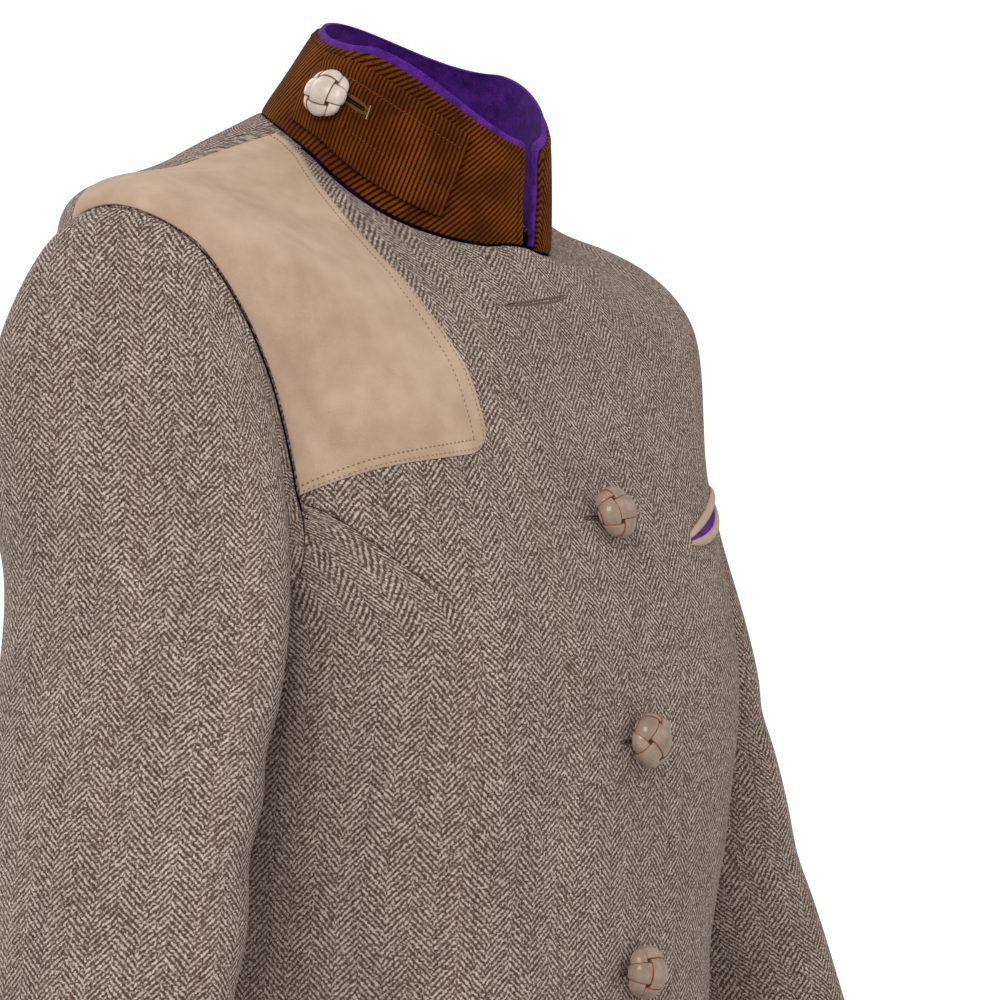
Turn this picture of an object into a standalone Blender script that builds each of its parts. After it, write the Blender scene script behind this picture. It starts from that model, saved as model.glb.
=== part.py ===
"""Ladies' shooting jacket, worn and hollow: herringbone cloth, stand collar in corduroy
with a felt lining, collar tab, suede gun patch, jetted breast pocket, leather buttons.

Metres. +Z up, the front faces -Y, the wearer's right is -X. The origin is at the middle of
the base of the neck, where the wearer's neck and shoulders carry the jacket.
"""
import bmesh
import bpy
import math
import numpy as np

# ------------------------------------------------------------------ sizes
CLOTH = 0.0018          # tweed
SUEDE = 0.0010
CORD = 0.0014           # corduroy outside of the collar
FELT = 0.0020           # felt inside of the collar
SEAM = 0.0003           # gap between pieces
LAP = 0.0026            # how far the right front stands over the left one
BUTTON_ACROSS = 0.0205
BUTTON_HIGH = 0.0125      # with its shank
COLLAR_LIP = 0.0022     # felt that shows above the corduroy

# Rings round the body, hem first. A ring is a rounded square with its own front, back and
# side heights, so that the upper rings run over the shoulders.
HEM, HIP, HIGH_HIP, WAIST, RIB, BUST, UNDERARM, CHEST, SHOULDER, MID_SHOULDER, NECK = range(11)
RINGS = np.array([
    # half width, side y, front y, back y, side z, front z, back z, squareness, tilt
    (0.188, 0.004, -0.136, 0.140, -0.6500, -0.655, -0.645, 2.30, 0.0),
    (0.180, 0.004, -0.136, 0.134, -0.5650, -0.567, -0.563, 2.30, 0.0),
    (0.158, 0.000, -0.133, 0.108, -0.4800, -0.480, -0.480, 2.30, 0.0),
    (0.139, -0.006, -0.127, 0.086, -0.4000, -0.400, -0.400, 2.35, 0.0),
    (0.142, -0.008, -0.130, 0.096, -0.3250, -0.325, -0.325, 2.60, 0.0),
    (0.147, -0.006, -0.132, 0.109, -0.2580, -0.260, -0.252, 2.90, 0.0),
    (0.150, 0.000, -0.126, 0.114, -0.2140, -0.218, -0.198, 3.05, 0.0),
    (0.166, 0.004, -0.107, 0.110, -0.1360, -0.160, -0.115, 2.70, 0.0),
    (0.198, 0.006, -0.087, 0.096, -0.0460, -0.102, -0.045, 2.30, 0.2),
    (0.128, 0.004, -0.074, 0.081, -0.0260, -0.072, -0.006, 2.10, 0.75),
    (0.069, 0.000, -0.065, 0.065, -0.0124, -0.052, 0.017, 2.00, 1.0),
])

# Collar, from the neck seam to its top edge
COLLAR = np.array([
    # half width, side y, front y, back y, side z, front z, back z, squareness, tilt
    (0.0690, 0.000, -0.0650, 0.0650, -0.0124, -0.0520, 0.0170, 2.0, 1.0),
    (0.0605, -0.008, -0.0675, 0.0510, 0.0125, -0.0280, 0.0380, 2.0, 0.6),
    (0.0520, -0.016, -0.0690, 0.0375, 0.0375, -0.0046, 0.0596, 2.0, 0.2),
])
COLLAR_HEIGHT = 0.048
COLLAR_ENDS = (1.0, 351.5)      # turn of the right and the left end

# Seam of each front: princess seam, armhole, shoulder seam. Turn by level.
FRONT_SEAM = np.array([
    # level, turn
    (0.00, 43.0), (1.50, 42.0), (3.28, 39.6), (3.84, 38.6), (4.50, 37.0), (5.03, 35.3), (5.28, 34.4),
    (5.49, 34.4), (5.69, 34.9), (5.88, 36.4), (6.03, 38.8), (6.12, 41.0), (6.21, 44.0), (6.29, 47.5),
    (6.38, 52.0), (6.47, 56.6), (6.54, 61.0), (6.59, 65.5), (6.63, 69.0), (6.79, 68.3), (7.06, 67.0),
    (7.27, 65.9), (7.49, 65.6), (7.68, 67.2), (7.83, 70.8), (7.91, 76.0), (7.955, 82.5), (7.975, 91.0),
    (8.02, 92.0), (8.12, 92.7), (8.30, 93.5), (9.00, 95.5), (10.0, 96.0)])
# Seam of each back: side-back seam, armhole, shoulder seam
BACK_SEAM = np.array([
    # level, turn
    (0.00, 130.0), (1.50, 129.0), (3.00, 127.0), (4.00, 126.0), (5.00, 124.0), (5.60, 121.8),
    (6.10, 119.6), (6.60, 118.0), (7.00, 117.4), (7.30, 116.2), (7.55, 113.4), (7.75, 108.6),
    (7.89, 101.5), (7.95, 96.5), (7.975, 91.0), (8.02, 92.0), (8.12, 92.7),
    (8.30, 93.5), (9.00, 95.5), (10.0, 96.0)])
# Armhole below the two seams
UNDER_ARMHOLE = np.array([
    # turn, level
    (69.0, 6.63), (69.6, 6.48), (71.5, 6.31), (75.0, 6.16), (80.0, 6.06), (86.0, 6.01), (92.0, 6.00),
    (98.0, 6.02), (104.0, 6.09), (109.0, 6.19), (113.5, 6.34), (116.5, 6.48), (118.0, 6.60)])
# Overlap edge of the right front
LAP_EDGE = np.array([
    # level, turn
    (0.00, -5.5), (3.30, -6.2), (4.40, -4.8), (4.90, -3.9), (5.35, -3.4), (6.00, -4.0), (6.40, -5.2),
    (6.80, -6.8), (7.20, -7.8), (7.70, -9.0), (8.15, -11.5), (8.68, -18.0), (9.10, -28.0),
    (9.42, -38.0), (10.0, -46.0)])
LAP_CORNER = 9.42               # level of the overlap's top corner
LAP_FLAT = 8.5                  # turn up to which the right front stands off the body
UNDER_LAP = 6.5                 # turn of the left front's edge, below the right front
UNDER_LAP_TOP = 9.90

# Rows of the panels' grids, shared where two panels meet
SIDE_ROWS = np.array([0, 0.7, 1.45, 2.22, 2.85, 3.42, 4.1, 4.84, 5.3, 5.7, 5.95, 6.12, 6.29, 6.45, 6.56, 6.63])
FRONT_ARM_ROWS = np.array([6.8, 7.12, 7.45, 7.68, 7.83, 7.93])
BACK_ARM_ROWS = np.array([6.6, 7.0, 7.3, 7.55, 7.75, 7.89])
SHOULDER_ROWS = np.array([7.975, 8.2, 8.45, 8.7, 8.95, 9.2, 9.42, 9.6, 9.8, 10.0])

# Sleeve rings, from the armhole to the wrist, for the wearer's right arm
SLEEVE = np.array([
    # outer x, outer z, inner x, inner z, front y, back y, set back
    (-0.1960, -0.046, -0.1500, -0.214, -0.0540, 0.078, 0.000),
    (-0.2060, -0.055, -0.1510, -0.218, -0.0550, 0.078, 0.012),
    (-0.2130, -0.084, -0.1515, -0.224, -0.0600, 0.075, 0.026),
    (-0.2160, -0.138, -0.1520, -0.234, -0.0660, 0.068, 0.028),
    (-0.2230, -0.208, -0.1525, -0.247, -0.0715, 0.064, 0.012),
    (-0.2500, -0.300, -0.1685, -0.312, -0.0745, 0.058, 0.004),
    (-0.2860, -0.405, -0.1990, -0.410, -0.0860, 0.038, 0.000),
    (-0.3150, -0.508, -0.2310, -0.511, -0.1050, 0.009, 0.000),
    (-0.3400, -0.606, -0.2620, -0.608, -0.1240, -0.022, 0.000),
])
CUFF = len(SLEEVE) - 1
ARM_CLEAR = 0.0040
SLEEVE_ROWS = np.concatenate([[0.06, 0.4, 1.0, 1.6, 2.2, 2.8, 3.4], np.linspace(4.0, CUFF, 10)])
ARM_SLACK = 0.18                # half a seam gap, in degrees of the clock
FRONT_ARM_SEAM, BACK_ARM_SEAM = 128.0, 250.0    # clock of the sleeve's two seams
# Soft breaks in the sleeve: where round it and along it, how far they reach, how deep
BREAKS = np.array([
    # clock, level, reach round, reach along, depth
    (95, 4.55, 60, 0.16, -0.0030), (100, 5.15, 65, 0.18, -0.0035), (140, 5.75, 60, 0.16, -0.0040),
    (150, 6.20, 55, 0.15, -0.0035), (30, 3.20, 40, 0.55, -0.0020), (300, 3.40, 40, 0.60, -0.0030)])

# Gun patch: its armhole side and its neck side, from the chest over the shoulder
PATCH = np.array([
    # armhole level, armhole turn, inner level, inner turn
    (6.655, 68.2, 7.160, 20.0), (6.79, 67.5, 7.42, 18.8), (7.06, 66.2, 7.67, 18.8), (7.27, 65.1, 7.85, 20.3),
    (7.49, 64.8, 8.15, 24.6), (7.68, 66.3, 8.59, 33.4), (7.84, 69.8, 8.93, 43.0), (7.95, 75.5, 9.25, 53.0),
    (8.03, 83.0, 9.59, 68.0), (8.06, 91.5, 9.82, 85.0), (8.02, 98.0, 9.92, 98.0), (7.95, 103.0, 9.92, 107.0)])

PATCH_LIFT = 0.0009             # clear of the panels' flat facets

# Collar tab, button at its back end
TAB_TURN = (39.0, 111.0)
TAB_UP = (0.13, 0.82)
TAB_THICK = 0.0024
TAB_BUTTON = (93.5, 0.50)       # turn, up

# Breast pocket of the wearer's left front: ends of its mouth
POCKET_LOW = (-17.0, 6.64)      # turn, level
POCKET_HIGH = (-50.0, 6.88)
JET = 0.0046
JET_THICK = 0.0022
JET_LIFT = 0.0007               # clear of the front's flat facets
LEVEL_SIZE = 0.062              # metres to a level, near the pocket

FRONT_BUTTONS = ((1.3, 6.765), (2.2, 4.825), (2.7, 3.39), (2.7, 2.20))      # turn, level

# Colour and roughness of each cloth or leather; none is metal
TWEED = ((0.255, 0.190, 0.145, 1), 0.95)
SUEDE_LEATHER = ((0.545, 0.395, 0.275, 1), 0.95)
CORDUROY = ((0.185, 0.070, 0.012, 1), 0.90)
FELT_CLOTH = ((0.105, 0.018, 0.260, 1), 0.95)
LEATHER = ((0.390, 0.290, 0.225, 1), 0.45)
PALE_LEATHER = ((0.690, 0.610, 0.540, 1), 0.45)


# ------------------------------------------------------------------ forms
def through(table, at):
    """A table's columns at a row number that need not be whole, on a smooth curve."""
    table = np.asarray(table, float)
    last = len(table) - 1
    at = np.clip(np.asarray(at, float), 0, last)
    low = np.minimum(at.astype(int), last - 1)
    t = (at - low)[..., None]
    a, b = table[low], table[low + 1]
    before = np.where((low > 0)[..., None], table[np.maximum(low - 1, 0)], 2 * a - b)
    after = np.where((low < last - 1)[..., None], table[np.minimum(low + 2, last)], 2 * b - a)
    return 0.5 * (2 * a + (b - before) * t + (2 * before - 5 * a + 4 * b - after) * t ** 2
                  + (3 * a - before - 3 * b + after) * t ** 3)


def ring(table, turn, row):
    """Point of a ring. Turn runs in degrees from the front to the wearer's right and on."""
    wide, side_y, front_y, back_y, side_z, front_z, back_z, square, tilt = np.moveaxis(
        through(table, row), -1, 0)
    s, c = np.sin(np.radians(turn)), np.cos(np.radians(turn))
    end_y = np.where(c > 0, front_y, back_y)
    end_z = np.where(c > 0, front_z, back_z)
    c = np.abs(c)
    fall = (1 - tilt) * c ** 2 + tilt * (1 - (1 - c) ** 1.6)
    x = -wide * np.sign(s) * np.abs(s) ** (2 / square)
    y = side_y + (end_y - side_y) * c ** (2 / square)
    return np.stack([x, y, side_z + (end_z - side_z) * fall], -1)


def moved_out(form, a, b, out, step_a, step_b, top_b):
    """Points of a form moved out along its own face."""
    p = form(a, b)
    if np.any(out):
        along = form(a + step_a, b) - form(a - step_a, b)
        up = form(a, np.minimum(b + step_b, top_b)) - form(a, np.maximum(b - step_b, 0))
        normal = np.cross(up, along)
        normal /= np.linalg.norm(normal, axis=-1, keepdims=True)
        p = p + normal * np.asarray(out)[..., None]
    return p


def body(turn, level, out=0.0):
    turn, level, out = np.broadcast_arrays(*(np.asarray(v, float) for v in (turn, level, out)))
    return moved_out(lambda a, b: ring(RINGS, a, b), turn, level, out, 0.2, 0.02, NECK)


def smooth_step(low, high, value):
    t = np.clip((np.asarray(value, float) - low) / (high - low), 0, 1)
    return t * t * (3 - 2 * t)


def lap_lift(turn):
    """How far the right front stands off the body where it covers the left one."""
    return LAP * (1 - smooth_step(LAP_FLAT, 19.0, turn))


def collar(turn, up, out=0.0):
    turn, up, out = np.broadcast_arrays(*(np.asarray(v, float) for v in (turn, up, out)))
    p = moved_out(lambda a, b: ring(COLLAR, a, b * 2), turn, up, out, 0.2, 0.01, 1)
    # its right end is sewn to the right front, which stands over the left one
    lift = np.where(turn < 180, lap_lift(turn), 0)
    step = body(turn, NECK, lift) - body(turn, NECK)
    return p + step * (1 - smooth_step(0, 0.5, up))[..., None]


def smoothed(table):
    """A seam's table drawn as a smooth curve of close points."""
    return through(table, np.linspace(0, len(table) - 1, 40 * len(table)))


def front_seam(level):
    return np.interp(level, *smoothed(FRONT_SEAM).T)


def back_seam(level):
    return np.interp(level, *smoothed(BACK_SEAM).T)


def under_armhole(turn):
    return np.interp(turn, *smoothed(UNDER_ARMHOLE).T)


def armhole_rim():
    """Points round the right armhole and their clock: shoulder, front, underarm, back.

    The rows and columns of the three panels end on its points.
    """
    up = np.linspace(SIDE_ROWS[-1], SHOULDER_ROWS[0], 150)
    down = np.linspace(69, 118, 150)
    back = np.linspace(BACK_ARM_ROWS[0], SHOULDER_ROWS[0], 150)
    turn = np.concatenate([front_seam(up)[::-1], down[1:], back_seam(back)[1:]])
    level = np.concatenate([up[::-1], under_armhole(down)[1:], back[1:]])
    p = body(turn, level)
    outer_x, outer_z, inner_x, inner_z, front_y, back_y, set_back = SLEEVE[0]
    rise = (p[:, 2] - (outer_z + inner_z) / 2) / ((outer_z - inner_z) / 2)
    fore = (p[:, 1] - (front_y + back_y) / 2) / ((front_y - back_y) / 2)
    clock = np.unwrap(np.arctan2(fore, rise))
    clock = np.degrees(clock - clock[0])
    return p, clock * 360 / clock[-1]


def armhole(clock):
    """Point of the right armhole by clock: 0 shoulder, 90 front, 180 underarm, 270 back."""
    clock = np.mod(clock, 360)
    return np.stack([np.interp(clock, RIM_CLOCK, RIM_POINTS[:, i]) for i in range(3)], -1)


def clock_at(points):
    """Clock of points that lie on the armhole."""
    away = np.linalg.norm(RIM_POINTS[None] - points[:, None], axis=-1)
    return RIM_CLOCK[away.argmin(1)]


def sleeve_form(clock, level):
    """Point of the right sleeve: its first ring is the armhole, its last the wrist."""
    c, s = np.cos(np.radians(clock)), np.sin(np.radians(clock))

    def section(row):
        outer_x, outer_z, inner_x, inner_z, front_y, back_y, set_back = np.moveaxis(row, -1, 0)
        x = (outer_x + inner_x) / 2 + (outer_x - inner_x) / 2 * c + set_back * s * (1 + c) / 2
        y = (front_y + back_y) / 2 + (front_y - back_y) / 2 * s
        z = (outer_z + inner_z) / 2 + (outer_z - inner_z) / 2 * c
        return np.stack([x, y, z], -1)

    p = section(through(SLEEVE, level))
    first = armhole(clock) - section(np.broadcast_to(SLEEVE[0], clock.shape + (7,)))
    p = p + first * (np.clip(1 - level / 3.2, 0, 1) ** 1.6)[..., None]
    middle = through(SLEEVE, level)
    centre = np.stack([(middle[..., 0] + middle[..., 2]) / 2, (middle[..., 4] + middle[..., 5]) / 2,
                       (middle[..., 1] + middle[..., 3]) / 2], -1)
    # below the arm it leaves the armhole outwards, clear of the side
    away = np.mod(clock - 140 + 180, 360) - 180
    p[..., 0] -= ARM_CLEAR * (1 - np.exp(-level / 0.15)) * np.exp(-(away / 75) ** 4)
    outward = (p - centre) / np.linalg.norm(p - centre, axis=-1, keepdims=True)
    for at, along, reach, length, depth in BREAKS:
        away = np.mod(clock - at + 180, 360) - 180
        fold = np.exp(-(away / reach) ** 2 * 2 - ((level - along) / length) ** 2)
        p = p + outward * (depth * fold)[..., None]
    return p


def sleeve(clock, level, out=0.0):
    clock, level, out = np.broadcast_arrays(*(np.asarray(v, float) for v in (clock, level, out)))
    return moved_out(sleeve_form, clock, level, out, 0.5, 0.02, CUFF)


# ------------------------------------------------------------------ making solids
def clear_scene():
    for thing in list(bpy.data.objects):
        bpy.data.objects.remove(thing, do_unlink=True)
    for mesh in list(bpy.data.meshes):
        bpy.data.meshes.remove(mesh)


def new_material(name, colour, roughness):
    material = bpy.data.materials.new(name)
    material.use_nodes = True
    shader = material.node_tree.nodes["Principled BSDF"]
    shader.inputs["Base Color"].default_value = colour
    shader.inputs["Roughness"].default_value = roughness
    shader.inputs["Metallic"].default_value = 0
    return material


def shell(name, outer, inner, material):
    """Wall of cloth between two grids of the same shape, closed all round its edge."""
    rows, columns = outer.shape[:2]
    count = rows * columns
    faces = []
    for r in range(rows - 1):
        for c in range(columns - 1):
            a = r * columns + c
            faces.append((a, a + columns, a + columns + 1, a + 1))
            faces.append((count + a, count + a + 1, count + a + columns + 1, count + a + columns))
    edge = ([c for c in range(columns - 1)] + [r * columns + columns - 1 for r in range(rows - 1)]
            + [count - 1 - c for c in range(columns - 1)] + [(rows - 1 - r) * columns for r in range(rows - 1)])
    for a, b in zip(edge, edge[1:] + edge[:1]):
        faces.append((a, b, count + b, count + a))
    points = np.concatenate([outer.reshape(-1, 3), inner.reshape(-1, 3)])
    mesh = bpy.data.meshes.new(name)
    mesh.from_pydata([tuple(p) for p in points], [], faces)
    mesh.materials.append(new_material(name, *material))
    bm = bmesh.new()
    bm.from_mesh(mesh)
    bmesh.ops.recalc_face_normals(bm, faces=bm.faces)
    bm.to_mesh(mesh)
    bm.free()
    thing = bpy.data.objects.new(name, mesh)
    jacket.objects.link(thing)
    return thing


def sheet(name, form, a, b, out, wall, material, mirror=False):
    """Piece of cloth on a form: its outer face at out, its inner one a wall further in."""
    outer, inner = form(a, b, out), form(a, b, np.asarray(out) - wall)
    if mirror:
        outer, inner = outer * (-1, 1, 1), inner * (-1, 1, 1)
    return shell(name, outer, inner, material)


def seam_slack(level):
    """Half a seam gap in degrees of turn."""
    return np.degrees(SEAM * 0.62 / through(RINGS, level)[..., 0])


def front_panel(right):
    """Turn and level of a front's grid, rows from the hem to the neck."""
    levels = np.concatenate([SIDE_ROWS, FRONT_ARM_ROWS, SHOULDER_ROWS])
    if right:
        # overlap edge to centre front, then past the left front's edge, then on to the seam
        row, u = np.meshgrid(levels, np.concatenate([np.linspace(0, 0.2, 5), np.linspace(0.3, 1, 7)]),
                             indexing="ij")
        top = np.where(u < 0.2, LAP_CORNER + (NECK - LAP_CORNER) * u / 0.2, NECK)
        level = np.minimum(row, LAP_CORNER) + np.maximum(row - LAP_CORNER, 0) * (
            (top - LAP_CORNER) / (NECK - LAP_CORNER))
        seam = front_seam(level) - seam_slack(level)
        edge = np.interp(level, *smoothed(LAP_EDGE).T)
        turn = np.where(u <= 0.2, edge * (1 - u / 0.2), LAP_FLAT * (u - 0.2) / 0.1)
        return np.where(u > 0.3, LAP_FLAT + (seam - LAP_FLAT) * (u - 0.3) / 0.7, turn), level
    row, u = np.meshgrid(levels, np.concatenate([[0, 0.1], np.linspace(0.2, 1, 8)]), indexing="ij")
    level = np.where(u < 0.2, row * UNDER_LAP_TOP / NECK, row)
    seam = front_seam(level) - seam_slack(level)
    return np.where(u <= 0.2, UNDER_LAP * (1 - u / 0.2) - 0.5 * u / 0.2,
                    -0.5 - (seam - 0.5) * (u - 0.2) / 0.8), level


def side_panel():
    u = np.linspace(0, 1, 10)
    turn = np.empty((len(SIDE_ROWS), len(u)))
    level = np.empty_like(turn)
    for i, end in enumerate(SIDE_ROWS):
        front = front_seam(end)
        back = back_seam(end)
        end = end - 0.012 * smooth_step(5.4, 6.0, end)
        slack = seam_slack(end)
        turn[i] = front + slack + (back - front - 2 * slack) * u
        # the top row follows the armhole, the rows below it flatten out
        flat = under_armhole(turn[i]) - 0.010
        level[i] = end + (np.minimum(flat, end) - end) * smooth_step(4.0, SIDE_ROWS[-1], end)
    return turn, level


def back_panel():
    levels = np.concatenate([SIDE_ROWS[:10], [6.12], BACK_ARM_ROWS, SHOULDER_ROWS])
    u = np.linspace(0, 1, 8)
    level, u = np.meshgrid(levels, u, indexing="ij")
    seam = back_seam(level) + seam_slack(level)
    middle = 180 - seam_slack(level)
    return seam + (middle - seam) * u, level


def button(name, place, outward, across, high, material):
    """Domed button on a short shank."""
    thing_mesh = bpy.data.meshes.new(name)
    bm = bmesh.new()
    profile = [(0.13, 0.0), (0.13, 0.10), (0.40, 0.17), (0.50, 0.42), (0.455, 0.70), (0.30, 0.92)]
    sides = 16
    rings = [[bm.verts.new((across * r * math.cos(2 * math.pi * k / sides),
                            across * r * math.sin(2 * math.pi * k / sides), high * z))
              for k in range(sides)] for r, z in profile]
    top = bm.verts.new((0, 0, high))
    for low, up in zip(rings, rings[1:]):
        for k in range(sides):
            bm.faces.new((low[k], low[(k + 1) % sides], up[(k + 1) % sides], up[k]))
    for k in range(sides):
        bm.faces.new((rings[-1][k], rings[-1][(k + 1) % sides], top))
    bm.faces.new(rings[0][::-1])
    z = np.asarray(outward, float) / np.linalg.norm(outward)
    x = np.cross((0, 0, 1), z)
    x /= np.linalg.norm(x)
    y = np.cross(z, x)
    for v in bm.verts:
        v.co = tuple(np.asarray(place) + x * v.co.x + y * v.co.y + z * v.co.z)
    bm.to_mesh(thing_mesh)
    bm.free()
    thing_mesh.materials.append(new_material(name, *material))
    thing = bpy.data.objects.new(name, thing_mesh)
    jacket.objects.link(thing)
    return thing


def outward_at(form, a, b):
    return form(a, b, 0.001) - form(a, b, 0.0)


# ------------------------------------------------------------------ the jacket
RIM_POINTS, RIM_CLOCK = armhole_rim()
clear_scene()
jacket = bpy.data.collections.new("shooting_jacket")
bpy.context.scene.collection.children.link(jacket)

# Fronts: the right one laps over the left one
turn, level = front_panel(True)
corner = smooth_step(-8, -38, turn) * smooth_step(7.5, 9.4, level)
sheet("right_front", body, turn, level, lap_lift(turn) + 0.003 * corner, CLOTH, TWEED)
turn, level = front_panel(False)
sheet("left_front", body, turn, level, 0.0, CLOTH, TWEED)

# Sides and backs
for name, (turn, level) in (("side", side_panel()), ("back", back_panel())):
    sheet("right_" + name, body, turn, level, 0.0, CLOTH, TWEED)
    sheet("left_" + name, body, turn, level, 0.0, CLOTH, TWEED, mirror=True)

# Sleeves: a top and an under piece each, with a column where each row of the panels ends
under = side_panel()[0][-1]
columns = np.concatenate([
    clock_at(body(front_seam(FRONT_ARM_ROWS), FRONT_ARM_ROWS)), [0.0],
    clock_at(body(under, under_armhole(under))),
    clock_at(body(back_seam(BACK_ARM_ROWS[1:]), BACK_ARM_ROWS[1:]))])
front_arm_seam = columns[np.abs(columns - FRONT_ARM_SEAM).argmin()]
back_arm_seam = columns[np.abs(columns - BACK_ARM_SEAM).argmin()]
columns = np.concatenate([columns - 360, columns])
for name, first, last in (("top_sleeve", back_arm_seam - 360, front_arm_seam),
                          ("under_sleeve", front_arm_seam, back_arm_seam)):
    inside = np.sort(columns[(columns > first + 1) & (columns < last - 1)])
    clock, level = np.meshgrid(np.concatenate([[first + ARM_SLACK], inside, [last - ARM_SLACK]]), SLEEVE_ROWS)
    sheet("right_" + name, sleeve, clock, level, 0.0, CLOTH, TWEED)
    sheet("left_" + name, sleeve, clock, level, 0.0, CLOTH, TWEED, mirror=True)

# Collar: corduroy outside, felt inside that shows above it and at its front ends
base = SEAM / COLLAR_HEIGHT * 1.3
for name, end, lip, out, wall, material in (("collar_outer", 0.5, COLLAR_LIP, 0.0, CORD, CORDUROY),
                                            ("collar_inner", 0.0, 0.0, -(CORD + SEAM), FELT, FELT_CLOTH)):
    turn = np.concatenate([np.linspace(COLLAR_ENDS[0] + end, 60, 9),
                           np.linspace(60, COLLAR_ENDS[1] - end, 25)[1:]])
    turn, up = np.meshgrid(turn, np.linspace(base, 1 - lip / COLLAR_HEIGHT, 4))
    sheet(name, collar, turn, up, out, wall, material)

# Collar tab, with its corners taken off
u, v = np.meshgrid(np.linspace(0, 1, 13), np.linspace(0, 1, 5))
u = u + 0.03 * (2 * v - 1) ** 4 * (1 - 2 * u)
sheet("collar_tab", collar, TAB_TURN[0] + (TAB_TURN[1] - TAB_TURN[0]) * u,
      TAB_UP[0] + (TAB_UP[1] - TAB_UP[0]) * v, TAB_THICK + SEAM, TAB_THICK, CORDUROY)

# Gun patch over the right shoulder
s, t = np.meshgrid(np.concatenate([[0, 0.2, 0.4, 0.7], np.arange(1, len(PATCH) - 0.9, 0.5)]),
                   np.array([0, 0.12, 0.25, 0.38, 0.5, 0.62, 0.74, 0.84, 0.92, 1.0]), indexing="ij")
rows = through(PATCH, s)
turn = rows[..., 1] + (rows[..., 3] - rows[..., 1]) * t
level = rows[..., 0] + (rows[..., 2] - rows[..., 0]) * t
round_off = smooth_step(0.8, 1, t) ** 1.5 * smooth_step(0.8, 0, s)
sheet("shoulder_patch", body, turn + 1.2 * round_off, level + 0.035 * round_off,
      lap_lift(turn) + PATCH_LIFT + SUEDE, SUEDE, SUEDE_LEATHER)

# Breast pocket: two jets round a mouth, and the lining that shows in it
u = np.linspace(0, 1, 13)
mouth_turn = POCKET_LOW[0] + (POCKET_HIGH[0] - POCKET_LOW[0]) * u
mouth_level = POCKET_LOW[1] + (POCKET_HIGH[1] - POCKET_LOW[1]) * u
gape = 0.0019 * np.sin(np.pi * (u * 0.96 + 0.02)) ** 0.8 + 0.0003
for name, sign in (("pocket_upper_jet", 1), ("pocket_lower_jet", -1)):
    across = np.stack([gape, gape + JET * 0.5, gape + JET]) / LEVEL_SIZE * sign
    crown = np.array([0.6, 1.0, 0.6])[:, None] * JET_THICK
    turn = np.broadcast_to(mouth_turn, across.shape)
    shell(name, body(turn, mouth_level + across, crown + JET_LIFT),
          body(turn, mouth_level + across, JET_LIFT), SUEDE_LEATHER)
across = np.stack([-gape, gape])[:, 1:-1] * 0.8 / LEVEL_SIZE
sheet("pocket_lining", body, np.broadcast_to(mouth_turn[1:-1], across.shape), mouth_level[1:-1] + across,
      JET_LIFT + 0.0006, 0.0006, FELT_CLOTH)

# Buttons: four down the front, one on the tab
for number, at in enumerate(FRONT_BUTTONS, 1):
    button("front_button_%d" % number, body(*at, LAP + SEAM), outward_at(body, *at),
           BUTTON_ACROSS, BUTTON_HIGH, LEATHER)
button("tab_button", collar(*TAB_BUTTON, TAB_THICK + 2 * SEAM + 0.0002), outward_at(collar, *TAB_BUTTON),
       BUTTON_ACROSS * 0.93, BUTTON_HIGH * 0.8, PALE_LEATHER)
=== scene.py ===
"""Ladies' shooting jacket, worn and hollow, dressed on its CAD frame.

Herringbone tweed, needle-cord stand collar with a purple felt inside, a buttoned collar tab,
a suede gun patch on the right shoulder, a jetted breast pocket and woven leather buttons.
Metres, +Z up, the front faces -Y and the wearer's right is -X.
"""
import math
import bmesh
import bpy
import numpy as np
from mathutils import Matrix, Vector


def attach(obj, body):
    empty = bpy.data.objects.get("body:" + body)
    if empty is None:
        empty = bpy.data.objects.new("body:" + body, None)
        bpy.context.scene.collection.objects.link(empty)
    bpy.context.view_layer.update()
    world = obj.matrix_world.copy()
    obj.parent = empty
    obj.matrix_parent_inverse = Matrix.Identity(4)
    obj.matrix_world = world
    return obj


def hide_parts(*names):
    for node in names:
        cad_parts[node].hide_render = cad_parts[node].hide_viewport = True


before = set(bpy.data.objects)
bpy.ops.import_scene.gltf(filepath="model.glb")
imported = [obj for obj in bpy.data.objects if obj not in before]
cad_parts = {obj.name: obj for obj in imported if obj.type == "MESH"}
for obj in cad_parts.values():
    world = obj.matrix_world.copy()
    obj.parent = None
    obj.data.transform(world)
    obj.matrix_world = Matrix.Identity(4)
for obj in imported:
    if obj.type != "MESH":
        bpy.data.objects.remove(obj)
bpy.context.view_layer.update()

# ---------------------------------------------------------------- the cut of the body
# The jacket's body is one smooth form of rings, hem first, cut into fronts, sides and backs
# by a princess seam, a side-back seam, a shoulder seam and a round armhole on each side.
HEM, HIP, HIGH_HIP, WAIST, RIB, BUST, UNDERARM, CHEST, SHOULDER, MID_SHOULDER, NECK = range(11)
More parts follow.
